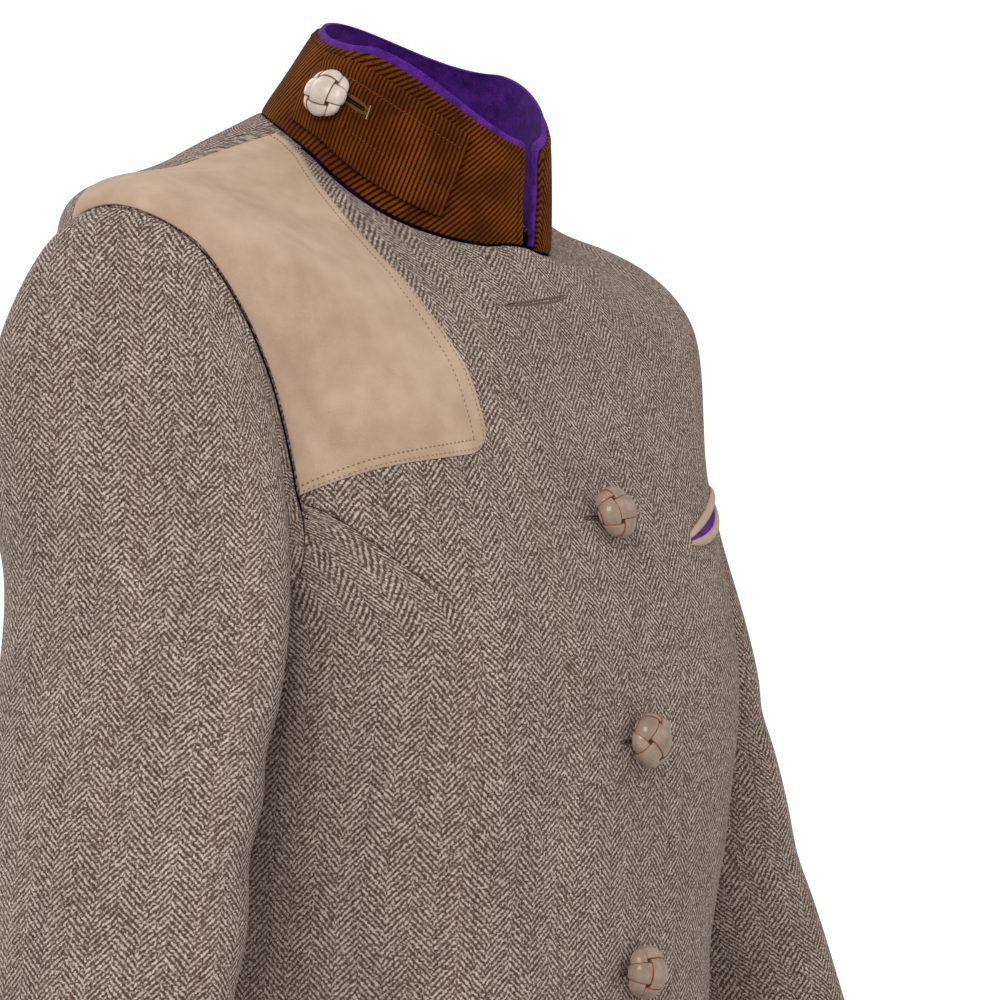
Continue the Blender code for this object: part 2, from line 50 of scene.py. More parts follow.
RINGS = np.array([
    # half width, side y, front y, back y, side z, front z, back z, squareness, tilt
    (0.188, 0.004, -0.136, 0.140, -0.6500, -0.655, -0.645, 2.30, 0.0),
    (0.180, 0.004, -0.136, 0.134, -0.5650, -0.567, -0.563, 2.30, 0.0),
    (0.158, 0.000, -0.133, 0.108, -0.4800, -0.480, -0.480, 2.30, 0.0),
    (0.139, -0.006, -0.127, 0.086, -0.4000, -0.400, -0.400, 2.35, 0.0),
    (0.142, -0.008, -0.130, 0.096, -0.3250, -0.325, -0.325, 2.60, 0.0),
    (0.147, -0.006, -0.132, 0.109, -0.2580, -0.260, -0.252, 2.90, 0.0),
    (0.150, 0.000, -0.126, 0.114, -0.2140, -0.218, -0.198, 3.05, 0.0),
    (0.166, 0.004, -0.107, 0.110, -0.1360, -0.160, -0.115, 2.70, 0.0),
    (0.198, 0.006, -0.087, 0.096, -0.0460, -0.102, -0.045, 2.30, 0.2),
    (0.128, 0.004, -0.074, 0.081, -0.0260, -0.072, -0.006, 2.10, 0.75),
    (0.069, 0.000, -0.065, 0.065, -0.0124, -0.052, 0.017, 2.00, 1.0),
])
FRONT_SEAM = np.array([
    # level, turn
    (0.00, 43.0), (1.50, 42.0), (3.28, 39.6), (3.84, 38.6), (4.50, 37.0), (5.03, 35.3), (5.28, 34.4),
    (5.49, 34.4), (5.69, 34.9), (5.88, 36.4), (6.03, 38.8), (6.12, 41.0), (6.21, 44.0), (6.29, 47.5),
    (6.38, 52.0), (6.47, 56.6), (6.54, 61.0), (6.59, 65.5), (6.63, 69.0), (6.79, 68.3), (7.06, 67.0),
    (7.27, 65.9), (7.49, 65.6), (7.68, 67.2), (7.83, 70.8), (7.91, 76.0), (7.955, 82.5), (7.975, 91.0),
    (8.02, 92.0), (8.12, 92.7), (8.30, 93.5), (9.00, 95.5), (10.0, 96.0)])
BACK_SEAM = np.array([
    # level, turn
    (0.00, 130.0), (1.50, 129.0), (3.00, 127.0), (4.00, 126.0), (5.00, 124.0), (5.60, 121.8),
    (6.10, 119.6), (6.60, 118.0), (7.00, 117.4), (7.30, 116.2), (7.55, 113.4), (7.75, 108.6),
    (7.89, 101.5), (7.95, 96.5), (7.975, 91.0), (8.02, 92.0), (8.12, 92.7),
    (8.30, 93.5), (9.00, 95.5), (10.0, 96.0)])
UNDER_ARMHOLE = np.array([
    # turn, level
    (69.0, 6.63), (69.6, 6.48), (71.5, 6.31), (75.0, 6.16), (80.0, 6.06), (86.0, 6.01), (92.0, 6.00),
    (98.0, 6.02), (104.0, 6.09), (109.0, 6.19), (113.5, 6.34), (116.5, 6.48), (118.0, 6.60)])
LAP_EDGE = np.array([
    # level, turn of the right front's overlap edge
    (0.00, -5.5), (3.30, -6.2), (4.40, -4.8), (4.90, -3.9), (5.35, -3.4), (6.00, -4.0), (6.40, -5.2),
    (6.80, -6.8), (7.20, -7.8), (7.70, -9.0), (8.15, -11.5), (8.68, -18.0), (9.10, -28.0),
    (9.42, -38.0), (10.0, -46.0)])
LAP_CORNER = 9.42
LAP, LAP_FLAT = 0.0026, 8.5
UNDER_LAP, UNDER_LAP_TOP = 6.5, 9.90
CLOTH, SEAM = 0.0018, 0.0003
# Where the cloth lies slack: soft troughs (minus) and swells, right side +, left side -
SLACK = np.array([
    # turn, level, along (m), across (m), slant (degrees), depth
    (58.0, 6.98, 0.040, 0.010, 62.0, -0.0022), (50.0, 7.15, 0.045, 0.011, 66.0, 0.0012),
    (62.0, 5.75, 0.050, 0.012, 25.0, -0.0018), (24.0, 3.75, 0.060, 0.012, 12.0, -0.0016),
    (50.0, 3.30, 0.060, 0.013, -10.0, -0.0020), (30.0, 3.05, 0.070, 0.014, 8.0, 0.0014),
    (-46.0, 3.40, 0.060, 0.013, 12.0, -0.0020), (-30.0, 3.75, 0.050, 0.012, -14.0, -0.0014),
    (-57.0, 6.95, 0.040, 0.010, -62.0, -0.0020), (150.0, 3.10, 0.070, 0.014, 6.0, -0.0024),
    (-150.0, 3.25, 0.070, 0.014, -8.0, -0.0024), (165.0, 3.60, 0.060, 0.012, -12.0, -0.0016),
    (-166.0, 2.85, 0.070, 0.014, 10.0, -0.0018), (125.0, 6.90, 0.060, 0.013, 74.0, -0.0024),
    (-125.0, 6.85, 0.060, 0.013, -74.0, -0.0024), (140.0, 7.30, 0.060, 0.014, 60.0, -0.0016),
    (-138.0, 7.35, 0.060, 0.014, -62.0, -0.0016), (20.0, 1.60, 0.016, 0.110, 4.0, -0.0022),
    (72.0, 1.30, 0.018, 0.120, -5.0, -0.0030), (100.0, 1.10, 0.018, 0.120, 4.0, 0.0030),
    (-70.0, 1.40, 0.018, 0.120, 5.0, -0.0030), (-102.0, 1.10, 0.018, 0.120, -4.0, 0.0028),
    (150.0, 1.20, 0.020, 0.120, 3.0, 0.0030), (-148.0, 1.10, 0.020, 0.120, -3.0, 0.0030),
    (-72.0, 7.75, 0.050, 0.045, 0.0, -0.0080)])


def through(table, at):
    """A table's columns at a row number that need not be whole, on a smooth curve."""
    table = np.asarray(table, float)
    last = len(table) - 1
    at = np.clip(np.asarray(at, float), 0, last)
    low = np.minimum(at.astype(int), last - 1)
    t = (at - low)[..., None]
    a, b = table[low], table[low + 1]
    before = np.where((low > 0)[..., None], table[np.maximum(low - 1, 0)], 2 * a - b)
    after = np.where((low < last - 1)[..., None], table[np.minimum(low + 2, last)], 2 * b - a)
    return 0.5 * (2 * a + (b - before) * t + (2 * before - 5 * a + 4 * b - after) * t ** 2
                  + (3 * a - before - 3 * b + after) * t ** 3)


def ring(table, turn, row):
    """Point of a ring. Turn runs in degrees from the front to the wearer's right and on."""
    wide, side_y, front_y, back_y, side_z, front_z, back_z, square, tilt = np.moveaxis(
        through(table, row), -1, 0)
    s, c = np.sin(np.radians(turn)), np.cos(np.radians(turn))
    end_y = np.where(c > 0, front_y, back_y)
    end_z = np.where(c > 0, front_z, back_z)
    c = np.abs(c)
    fall = (1 - tilt) * c ** 2 + tilt * (1 - (1 - c) ** 1.6)
    x = -wide * np.sign(s) * np.abs(s) ** (2 / square)
    y = side_y + (end_y - side_y) * c ** (2 / square)
    return np.stack([x, y, side_z + (end_z - side_z) * fall], -1)


def moved_out(form, a, b, out, step_a, step_b, top_b):
    """Points of a form moved out along its own face."""
    p = form(a, b)
    across = form(a + step_a, b) - form(a - step_a, b)
    up = form(a, np.minimum(b + step_b, top_b)) - form(a, np.maximum(b - step_b, 0))
    normal = np.cross(up, across)
    normal /= np.linalg.norm(normal, axis=-1, keepdims=True)
    return p + normal * np.asarray(out)[..., None]


def smooth_step(low, high, value):
    t = np.clip((np.asarray(value, float) - low) / (high - low), 0, 1)
    return t * t * (3 - 2 * t)


def slack(turn, level):
    """How far the cloth lies in or out of the smooth form at a place."""
    total = 0.0
    for at_turn, at_level, along, across, slant, depth in SLACK:
        a = (np.mod(turn - at_turn + 180, 360) - 180) * 0.0026
        b = (level - at_level) * 0.068
        c, s = math.cos(math.radians(slant)), math.sin(math.radians(slant))
        total = total + depth * np.exp(-((a * c + b * s) / along) ** 2 - ((b * c - a * s) / across) ** 2)
    return total * (1 - smooth_step(8.0, 8.6, level)) * (1 - 0.9 * np.exp(-(turn / 9) ** 2))


def body(turn, level, out=0.0):
    turn, level, out = np.broadcast_arrays(*(np.asarray(v, float) for v in (turn, level, out)))
    return moved_out(lambda a, b: ring(RINGS, a, b), turn, level, out + slack(turn, level), 0.2, 0.02, NECK)


def lap_lift(turn):
    """How far the right front stands off the body where it covers the left one."""
    return LAP * (1 - smooth_step(LAP_FLAT, 19.0, turn))


def smoothed(table):
    """A seam's table drawn as a smooth curve of close points."""
    return through(table, np.linspace(0, len(table) - 1, 40 * len(table)))


def front_seam(level):
    return np.interp(level, *smoothed(FRONT_SEAM).T)


def back_seam(level):
    return np.interp(level, *smoothed(BACK_SEAM).T)


def under_armhole(turn):
    return np.interp(turn, *smoothed(UNDER_ARMHOLE).T)


def seam_slack(level):
    """Half a seam gap in degrees of turn."""
    return np.degrees(SEAM * 0.15 / through(RINGS, level)[..., 0])


def edge_roll(outer):
    """How far a sheet's outer face rolls in towards its four edges, from the grid's sizes."""
    down = np.linalg.norm(np.diff(outer, axis=0), axis=-1)
    side = np.linalg.norm(np.diff(outer, axis=1), axis=-1)
    row = np.concatenate([np.zeros((1, outer.shape[1])), np.cumsum(down, 0)])
    column = np.concatenate([np.zeros((outer.shape[0], 1)), np.cumsum(side, 1)], 1)
    away = np.minimum(np.minimum(row, row[-1] - row), np.minimum(column, column[:, -1:] - column))
    return 0.0006 * np.exp(-(away / 0.0009) ** 1.5) + 0.0007 * np.exp(-(away / 0.005) ** 2)


def grain(points, middle):
    """Where each point of a sheet lay on the flat cloth: across and up the grain, in metres."""
    up = np.gradient(points, axis=0)
    side = np.gradient(points, axis=1)
    normal = np.cross(side, up)
    normal /= np.linalg.norm(normal, axis=-1, keepdims=True) + 1e-12
    level_way = np.cross(normal, (0, 0, 1))
    level_way /= np.linalg.norm(level_way, axis=-1, keepdims=True) + 1e-9
    level_way *= np.sign((level_way * side).sum(-1, keepdims=True).mean() or 1)
    up_way = np.cross(normal, level_way)
    up_way *= np.sign((up_way * up).sum(-1, keepdims=True).mean() or 1)
    step = np.diff(points, axis=1)
    across = np.cumsum((step * (level_way[:, 1:] + level_way[:, :-1]) / 2).sum(-1), 1)
    across = np.concatenate([np.zeros((len(points), 1)), across], 1)
    across -= across[:, middle:middle + 1]
    step = np.diff(points, axis=0)
    rise = np.cumsum((step * (up_way[1:] + up_way[:-1]) / 2).sum(-1), 0)
    rise = np.concatenate([np.zeros((1, points.shape[1])), rise]) + points[:1, :, 2] - points[0, middle, 2]
    return np.stack([across, rise], -1)


def sheet_mesh(name, outer, inner, layout, materials):
    """Closed wall of cloth between two grids, with its place on the flat cloth as a UV map."""
    rows, columns = outer.shape[:2]
    count = rows * columns
    a = (np.arange(rows - 1)[:, None] * columns + np.arange(columns - 1)).reshape(-1)
    faces = np.concatenate([np.stack([a, a + columns, a + columns + 1, a + 1], -1),
                            count + np.stack([a, a + 1, a + columns + 1, a + columns], -1)]).tolist()
    edge = np.concatenate([np.arange(columns - 1), np.arange(rows - 1) * columns + columns - 1,
                           count - 1 - np.arange(columns - 1), (rows - 1 - np.arange(rows - 1)) * columns])
    for p, q in zip(edge, np.roll(edge, -1)):
        faces.append((int(p), int(q), int(q) + count, int(p) + count))
    points = np.concatenate([outer.reshape(-1, 3), inner.reshape(-1, 3)])
    mesh = bpy.data.meshes.new(name)
    mesh.from_pydata(points.tolist(), [], faces)
    # the inner face is faced with the outer cloth near its edges, as seam allowances are
    inside = np.zeros((rows - 1, columns - 1), int)
    inside[4:-4, 4:-4] = len(materials) - 1
    mesh.polygons.foreach_set("material_index", [0] * len(a) + inside.reshape(-1).tolist() + [0] * len(edge))
    for material in materials:
        mesh.materials.append(material)
    # the grid's first face tells whether the wall is inside out
    first = mesh.polygons[len(a) // 2]
    if Vector(first.normal).dot(Vector(outer.reshape(-1, 3)[first.vertices[0]] - inner.reshape(-1, 3)[first.vertices[0]])) < 0:
        mesh.flip_normals()
    corners = np.zeros(len(mesh.loops), int)
    mesh.loops.foreach_get("vertex_index", corners)
    cut = mesh.uv_layers.new(name="cut")
    cut.data.foreach_set("uv", layout.reshape(-1, 2)[corners % count].reshape(-1).astype(np.float32))
    mesh.polygons.foreach_set("use_smooth", [True] * len(mesh.polygons))
    piece = bpy.data.objects.new(name, mesh)
    bpy.context.scene.collection.objects.link(piece)
    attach(piece, "root")
    return piece


def cut_size(outer):
    """Width, length and area of the flat piece, taken from the sewn one."""
    up, side = np.gradient(outer, axis=0), np.gradient(outer, axis=1)
    across = np.linalg.norm(np.diff(outer, axis=1), axis=-1).sum(1).max()
    length = np.linalg.norm(np.diff(outer, axis=0), axis=-1).sum(0).max()
    cells = np.linalg.norm(np.cross(up, side), axis=-1)[:-1, :-1].sum()
    return (round(float(across), 3), round(float(length), 3)), round(float(min(cells, across * length)), 4)


class Wire:
    """A socket of a material's nodes, so that a pattern is written as sums."""

    def __init__(self, tree, socket=None):
        self.tree = tree
        self.socket = socket

    def node(self, kind, settings, sockets, output=0):
        made = self.tree.nodes.new(kind)
        for key, value in settings.items():
            if key == "stops":
                ramp = made.color_ramp
                ramp.elements[0].position, ramp.elements[0].color = value[0]
                ramp.elements[1].position, ramp.elements[1].color = value[-1]
                for place, colour in value[1:-1]:
                    ramp.elements.new(place).color = colour
            else:
                setattr(made, key, value)
        for key, value in sockets.items():
            if isinstance(value, Wire):
                self.tree.links.new(value.socket, made.inputs[key])
            else:
                made.inputs[key].default_value = value
        return Wire(self.tree, made.outputs[output])

    def sum(self, operation, other=0.0, swap=False, third=0.0):
        first, second = (other, self) if swap else (self, other)
        return self.node("ShaderNodeMath", {"operation": operation}, {0: first, 1: second, 2: third})

    def __add__(self, other):
        return self.sum("ADD", other)

    def __sub__(self, other):
        return self.sum("SUBTRACT", other)

    def __mul__(self, other):
        return self.sum("MULTIPLY", other)

    def __truediv__(self, other):
        return self.sum("DIVIDE", other)

    def __rsub__(self, other):
        return self.sum("SUBTRACT", other, swap=True)

    __radd__ = __add__
    __rmul__ = __mul__

    def between(self, low, high):
        """0 below low, 1 above high, smooth between them."""
        return self.node("ShaderNodeMapRange", {"interpolation_type": "SMOOTHSTEP"},
                         {0: self, 1: low, 2: high, 3: 0.0, 4: 1.0})

    def mixed(self, colour_a, colour_b):
        """Colour a where this is 0, colour b where it is 1."""
        return self.node("ShaderNodeMix", {"data_type": "RGBA"}, {0: self, 6: colour_a, 7: colour_b}, 2)

    def noise(self, scale, detail=3.0, rough=0.5, place=None):
        """Cloudy noise, on the object's own coordinates unless a place is given."""
        if place is None:
            place = self.node("ShaderNodeTexCoord", {}, {}, 3)
        return self.node("ShaderNodeTexNoise", {}, {"Vector": place, "Scale": scale, "Detail": detail,
                                                    "Roughness": rough})


def flat_place(start):
    """Across and up the flat cloth, in millimetres."""
    place = start.node("ShaderNodeUVMap", {"uv_map": "cut"}, {})
    return (start.node("ShaderNodeSeparateXYZ", {}, {0: place}, 0) * 1000.0,
            start.node("ShaderNodeSeparateXYZ", {}, {0: place}, 1) * 1000.0)


def finish(name, drawn, sheen=0.0, sheen_colour=(1, 1, 1, 1), roughness=0.9, coat=0.0, gloss=0.10):
    """A material whose colour, height and relief in metres are drawn by one function."""
    material = bpy.data.materials.new(name)
    material.use_nodes = True
    shader = material.node_tree.nodes["Principled BSDF"]
    start = Wire(material.node_tree)
    colour, height, relief = drawn(start)
    bump = start.node("ShaderNodeBump", {}, {"Strength": 1.0, "Distance": relief, "Height": height})
    material.node_tree.links.new(colour.socket, shader.inputs["Base Color"])
    material.node_tree.links.new(bump.socket, shader.inputs["Normal"])
    shader.inputs["Roughness"].default_value = roughness
    shader.inputs["Sheen Weight"].default_value = sheen
    shader.inputs["Sheen Tint"].default_value = sheen_colour
    shader.inputs["Coat Weight"].default_value = coat
    shader.inputs["Specular IOR Level"].default_value = gloss
    return material


STRIPE = 10.5            # mm from one herringbone turn to the next
TWILL = 2.9              # mm up the cloth from one twill line to the next
YARN = 0.72              # mm


def herringbone(start):
    """Cream and brown yarns in a herringbone twill, heathered and a little uneven."""
    u, v = flat_place(start)
    stray = start.noise(60.0, 2.0)
    u = u + (stray - 0.5) * 1.4
    v = v + (start.noise(95.0, 2.0) - 0.5) * 1.8
    turned = (u / STRIPE).sum("FLOOR").sum("FLOORED_MODULO", 2.0)
    zig = u.sum("PINGPONG", STRIPE)
    wave = (((v + zig) / TWILL + turned * 0.5) * (2 * math.pi)).sum("SINE")
    cell = start.node("ShaderNodeCombineXYZ", {}, {0: (u / YARN).sum("FLOOR"), 1: (v / YARN).sum("FLOOR")})
    fleck = start.node("ShaderNodeTexWhiteNoise", {"noise_dimensions": "2D"}, {"Vector": cell}, 0)
    yarn = start.node("ShaderNodeTexWhiteNoise", {"noise_dimensions": "1D"}, {"W": (u / YARN).sum("FLOOR")}, 0)
    hair = start.noise(950.0, 3.0, 0.7)
    line = (wave * 0.9 + (fleck - 0.5) * 1.3 + (hair - 0.5) * 4.6).between(-0.65, 0.95)
    cream = fleck.mixed((0.37, 0.280, 0.220, 1), (0.86, 0.730, 0.640, 1))
    brown = yarn.mixed((0.034, 0.016, 0.010, 1), (0.105, 0.050, 0.033, 1))
    heather = start.noise(28.0, 3.0).between(0.25, 0.8)
    woven = (line * 0.70 + 0.09).mixed(brown, cream)
    worn = heather.mixed((0.90, 0.88, 0.86, 1), (1.06, 1.05, 1.04, 1))
    colour = start.node("ShaderNodeMix", {"data_type": "RGBA", "blend_type": "MULTIPLY"},
                        {0: 1.0, 6: woven, 7: worn}, 2)
    return colour, line * 0.7 + fleck * 0.25 + hair * 0.5, 0.00022


def satin(start):
    """Plum satin lining with a fine twill."""
    u, v = flat_place(start)
    wave = ((u + v) * (2 * math.pi / 0.8)).sum("SINE")
    cloud = start.noise(22.0, 2.0)
    return cloud.mixed((0.040, 0.008, 0.105, 1), (0.085, 0.016, 0.200, 1)), wave * 0.3 + cloud, 0.00008


tweed = finish("tweed", herringbone, sheen=0.10, sheen_colour=(0.9, 0.8, 0.7, 1))
lining = finish("lining", satin, sheen=0.1, roughness=0.42)

# ---------------------------------------------------------------- fronts
# Two tweed fronts, each cut in one from hem to neck and seamed to the side by a princess seam.
# The right one laps over the left one, with a folded front edge and a turned hem.
ROWS = np.concatenate([[0, 0.012, 0.03, 0.06], np.linspace(0.1, 5.2, 90), np.linspace(5.22, 6.63, 66),
                       np.linspace(6.655, 7.975, 46), np.linspace(8.01, 9.40, 42), np.linspace(9.42, 10, 22)])
EDGE = np.array([0, 0.004, 0.009, 0.016, 0.026])


def cloth_piece(node, turn, level, out, middle, form=body, materials=(tweed, lining), wall=CLOTH,
                layout=None, roll=0.6):
    """Make one cut piece on a form in place of its CAD solid."""
    plain = form(turn, level, out)
    out = np.asarray(out) - roll * edge_roll(plain)
    outer = form(turn, level, out)
    inner = form(turn, level, out - wall * 0.9)
    if layout is None:
        layout = grain(plain, middle)
    piece = sheet_mesh(node + "_cloth", outer, inner, layout, list(materials))
    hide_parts(node)
    flat, area = cut_size(plain)
    return piece


columns = np.concatenate([EDGE * 0.2 / 0.15, np.linspace(0.045, 0.2, 9), np.linspace(0.215, 0.30, 6)[:-1],
                          np.linspace(0.30, 0.965, 46), 1 - EDGE[::-1]])
row, u = np.meshgrid(ROWS, columns, indexing="ij")
top = np.where(u < 0.2, LAP_CORNER + (NECK - LAP_CORNER) * u / 0.2, NECK)
level = np.minimum(row, LAP_CORNER) + np.maximum(row - LAP_CORNER, 0) * ((top - LAP_CORNER) / (NECK - LAP_CORNER))
seam = front_seam(level) - seam_slack(level)
edge = np.interp(level, *smoothed(LAP_EDGE).T)
turn = np.where(u <= 0.2, edge * (1 - u / 0.2), LAP_FLAT * (u - 0.2) / 0.1)
turn = np.where(u > 0.3, LAP_FLAT + (seam - LAP_FLAT) * (u - 0.3) / 0.7, turn)
corner = smooth_step(-8, -38, turn) * smooth_step(7.5, 9.4, level)
centre = int(np.abs(columns - 0.2).argmin())
fold = 0.0011 * np.exp(-((turn - edge) / 2.2) ** 2)
cloth_piece("right_front", turn, level, lap_lift(turn) + 0.003 * corner + fold, centre,
            roll=1.1)

columns = np.concatenate([EDGE, np.linspace(0.04, 0.2, 9), np.linspace(0.215, 0.965, 50), 1 - EDGE[::-1]])
row, u = np.meshgrid(ROWS, columns, indexing="ij")
level = np.where(u < 0.2, row * UNDER_LAP_TOP / NECK, row * np.minimum(1, 0.99 + 0.01 * (u - 0.2) / 0.02))
seam = front_seam(level) - seam_slack(level)
turn = np.where(u <= 0.2, UNDER_LAP * (1 - u / 0.2) - 0.5 * u / 0.2, -0.5 - (seam - 0.5) * (u - 0.2) / 0.8)
cloth_piece("left_front", turn, level, 0.0, int(np.abs(columns - 0.2).argmin()), roll=1.1)

# ---------------------------------------------------------------- sides and backs
# A narrow side on each side runs up to the underarm, and two backs meet at the centre-back seam.
SIDE_TOP = 6.63
rows = np.concatenate([[0, 0.012, 0.03, 0.06], np.linspace(0.1, 5.2, 86), np.linspace(5.22, SIDE_TOP, 64)])
u = np.concatenate([EDGE, np.linspace(0.04, 0.96, 46), 1 - EDGE[::-1]])
side_turn = np.empty((len(rows), len(u)))
side_level = np.empty_like(side_turn)
for i, end in enumerate(rows):
    front, back = front_seam(end), back_seam(end)
    end = end - 0.004 * smooth_step(5.4, 6.0, end)
    gap = seam_slack(end)
    side_turn[i] = front + gap + (back - front - 2 * gap) * u
    flat = under_armhole(side_turn[i]) - 0.003
    side_level[i] = end + (np.minimum(flat, end) - end) * smooth_step(4.0, SIDE_TOP, end)
for hand, side in (("right", 1), ("left", -1)):
    laid = body(side * side_turn, side_level)
    round_it = np.cumsum(np.linalg.norm(np.diff(laid[..., :2], axis=1), axis=-1), 1)
    round_it = np.concatenate([np.zeros((len(laid), 1)), round_it], 1)
    layout = np.stack([round_it - round_it[:, 28:29], laid[..., 2]], -1)
    cloth_piece(hand + "_side", side * side_turn, side_level, 0.0, 28, layout=layout,
                roll=1.1)

level, u = np.meshgrid(ROWS, np.concatenate([EDGE, np.linspace(0.04, 0.96, 50), 1 - EDGE[::-1]]), indexing="ij")
seam = back_seam(level) + seam_slack(level)
turn = seam + (180 - seam) * u
cloth_piece("right_back", turn, level, 0.0, turn.shape[1] - 1)
cloth_piece("left_back", -turn, level, 0.0, turn.shape[1] - 1)

# ---------------------------------------------------------------- sleeves
# Two-piece tweed sleeves set into the armholes, with a little ease at the cap, soft breaks at
# the elbow and a plain turned cuff. Each hangs from its armhole, close to the body.
SLEEVE = np.array([
    # outer x, outer z, inner x, inner z, front y, back y, set back
    (-0.1960, -0.046, -0.1500, -0.214, -0.0540, 0.078, 0.000),
    (-0.2060, -0.055, -0.1510, -0.218, -0.0550, 0.078, 0.012),
    (-0.2130, -0.084, -0.1515, -0.224, -0.0600, 0.075, 0.026),
    (-0.2160, -0.138, -0.1520, -0.234, -0.0660, 0.068, 0.028),
    (-0.2230, -0.208, -0.1525, -0.247, -0.0715, 0.064, 0.012),
    (-0.2500, -0.300, -0.1685, -0.312, -0.0745, 0.058, 0.004),
    (-0.2860, -0.405, -0.1990, -0.410, -0.0860, 0.038, 0.000),
    (-0.3150, -0.508, -0.2310, -0.511, -0.1050, 0.009, 0.000),
    (-0.3400, -0.606, -0.2620, -0.608, -0.1240, -0.022, 0.000),
])
CUFF = len(SLEEVE) - 1
ARM_CLEAR = 0.0040
FAR_SET_BACK = 0.012     # the left sleeve's cap is pulled back a little more
FRONT_ARM_SEAM, BACK_ARM_SEAM, ARM_SLACK = 128.0, 250.0, 0.04
BREAKS = np.array([
    # clock, level, reach round, reach along, slant, depth
    (95, 4.55, 60, 0.16, 0.2, -0.0030), (100, 5.15, 65, 0.18, -0.3, -0.0035), (140, 5.75, 60, 0.16, 0.3, -0.0040),
    (150, 6.20, 55, 0.15, -0.2, -0.0035), (30, 3.20, 34, 0.60, 0.0, -0.0024), (300, 3.40, 40, 0.60, 0.0, -0.0030),
    (62, 2.20, 20, 0.90, 0.0, -0.0022), (84, 1.40, 16, 0.60, 0.0, 0.0012), (345, 2.60, 22, 0.80, 0.0, -0.0018),
    (20, 5.10, 30, 0.35, 0.5, -0.0016), (330, 5.60, 40, 0.22, 0.4, -0.0022), (60, 6.60, 40, 0.22, 0.4, -0.0020)])


def armhole_rim(side):
    """Points round an armhole, put on the right, and their clock: shoulder, front, underarm, back."""
    up = np.linspace(SIDE_TOP, 7.975, 150)
    down = np.linspace(69, 118, 150)
    back = np.linspace(6.6, 7.975, 150)
    turn = np.concatenate([front_seam(up)[::-1], down[1:], back_seam(back)[1:]])
    level = np.concatenate([up[::-1], under_armhole(down)[1:], back[1:]])
    p = body(side * turn, level) * (side, 1, 1)
    outer_x, outer_z, inner_x, inner_z, front_y, back_y, set_back = SLEEVE[0]
    rise = (p[:, 2] - (outer_z + inner_z) / 2) / ((outer_z - inner_z) / 2)
    fore = (p[:, 1] - (front_y + back_y) / 2) / ((front_y - back_y) / 2)
    clock = np.unwrap(np.arctan2(fore, rise))
    clock = np.degrees(clock - clock[0])
    return p, clock * 360 / clock[-1]


def sleeve_on(side):
    """The form of a sleeve of one side, drawn on the right."""
    rim, rim_clock = armhole_rim(side)

    def section(row, c, s):
        outer_x, outer_z, inner_x, inner_z, front_y, back_y, set_back = np.moveaxis(row, -1, 0)
        x = (outer_x + inner_x) / 2 + (outer_x - inner_x) / 2 * c + set_back * s * (1 + c) / 2
        y = (front_y + back_y) / 2 + (front_y - back_y) / 2 * s
        z = (outer_z + inner_z) / 2 + (outer_z - inner_z) / 2 * c
        return np.stack([x, y, z], -1)

    def form(clock, level):
        c, s = np.cos(np.radians(clock)), np.sin(np.radians(clock))
        middle = through(SLEEVE, level)
        if side < 0:
            middle[..., 6] += FAR_SET_BACK * smooth_step(0, 1.2, level) * (1 - smooth_step(3, 5.5, level))
        p = section(middle, c, s)
        start = np.stack([np.interp(np.mod(clock, 360), rim_clock, rim[:, i]) for i in range(3)], -1)
        first = start - section(np.broadcast_to(SLEEVE[0], clock.shape + (7,)), c, s)
        p = p + first * (np.clip(1 - level / 3.2, 0, 1) ** 1.6)[..., None]
        centre = np.stack([(middle[..., 0] + middle[..., 2]) / 2, (middle[..., 4] + middle[..., 5]) / 2,
                           (middle[..., 1] + middle[..., 3]) / 2], -1)
        # below the arm it leaves the armhole outwards, clear of the side
        away = np.mod(clock - 140 + 180, 360) - 180
        p[..., 0] -= ARM_CLEAR * (1 - np.exp(-level / 0.15)) * np.exp(-(away / 75) ** 4)
        outward = (p - centre) / np.linalg.norm(p - centre, axis=-1, keepdims=True)
        ease = 0.0014 * np.exp(-((level - 0.30) / 0.22) ** 2) * (1 + np.cos(np.radians(clock - 10))) / 2
        ease = ease * smooth_step(0, 0.15, level)
        for at, along, reach, length, slant, depth in BREAKS:
            away = np.mod(clock - at + 180, 360) - 180
            off = level - along - slant * away / 90
            ease = ease + depth * np.exp(-(away / reach) ** 2 * 2 - (off / length) ** 2)
        return p + outward * ease[..., None]

    def sleeve(clock, level, out=0.0):
        clock, level, out = np.broadcast_arrays(*(np.asarray(v, float) for v in (clock, level, out)))
        return moved_out(form, clock, level, out, 0.5, 0.02, CUFF) * (side, 1, 1)
    return sleeve


arm_rows = np.concatenate([[0, 0.02, 0.05, 0.09], np.linspace(0.15, 2.0, 40), np.linspace(2.05, 7.9, 120),
                           [7.94, 7.965, 7.985, 8.0]])[::-1]
for side, hand in ((1, "right"), (-1, "left")):
    for part, first, last, count in (("top_sleeve", BACK_ARM_SEAM - 360, FRONT_ARM_SEAM, 96),
                                     ("under_sleeve", FRONT_ARM_SEAM, BACK_ARM_SEAM, 52)):
        t = np.concatenate([EDGE * 0.7, np.linspace(0.03, 0.97, count), 1 - 0.7 * EDGE[::-1]])
        clock = first + ARM_SLACK + (last - first - 2 * ARM_SLACK) * t
        level, clock = np.meshgrid(arm_rows, clock, indexing="ij")
        shape = sleeve_on(side)
        mid = level.shape[1] // 2
        laid = shape(clock, level)
        along = np.cumsum(np.linalg.norm(np.diff(laid, axis=0, prepend=laid[:1]), axis=-1), 0)
        about = np.cumsum(np.linalg.norm(np.diff(laid, axis=1, prepend=laid[:, :1]), axis=-1), 1)
        layout = np.stack([about - about[:, mid:mid + 1], along], -1)
        cloth_piece(hand + "_" + part, clock, level, 0.0, mid,
                    form=shape, layout=layout, roll=0.3)

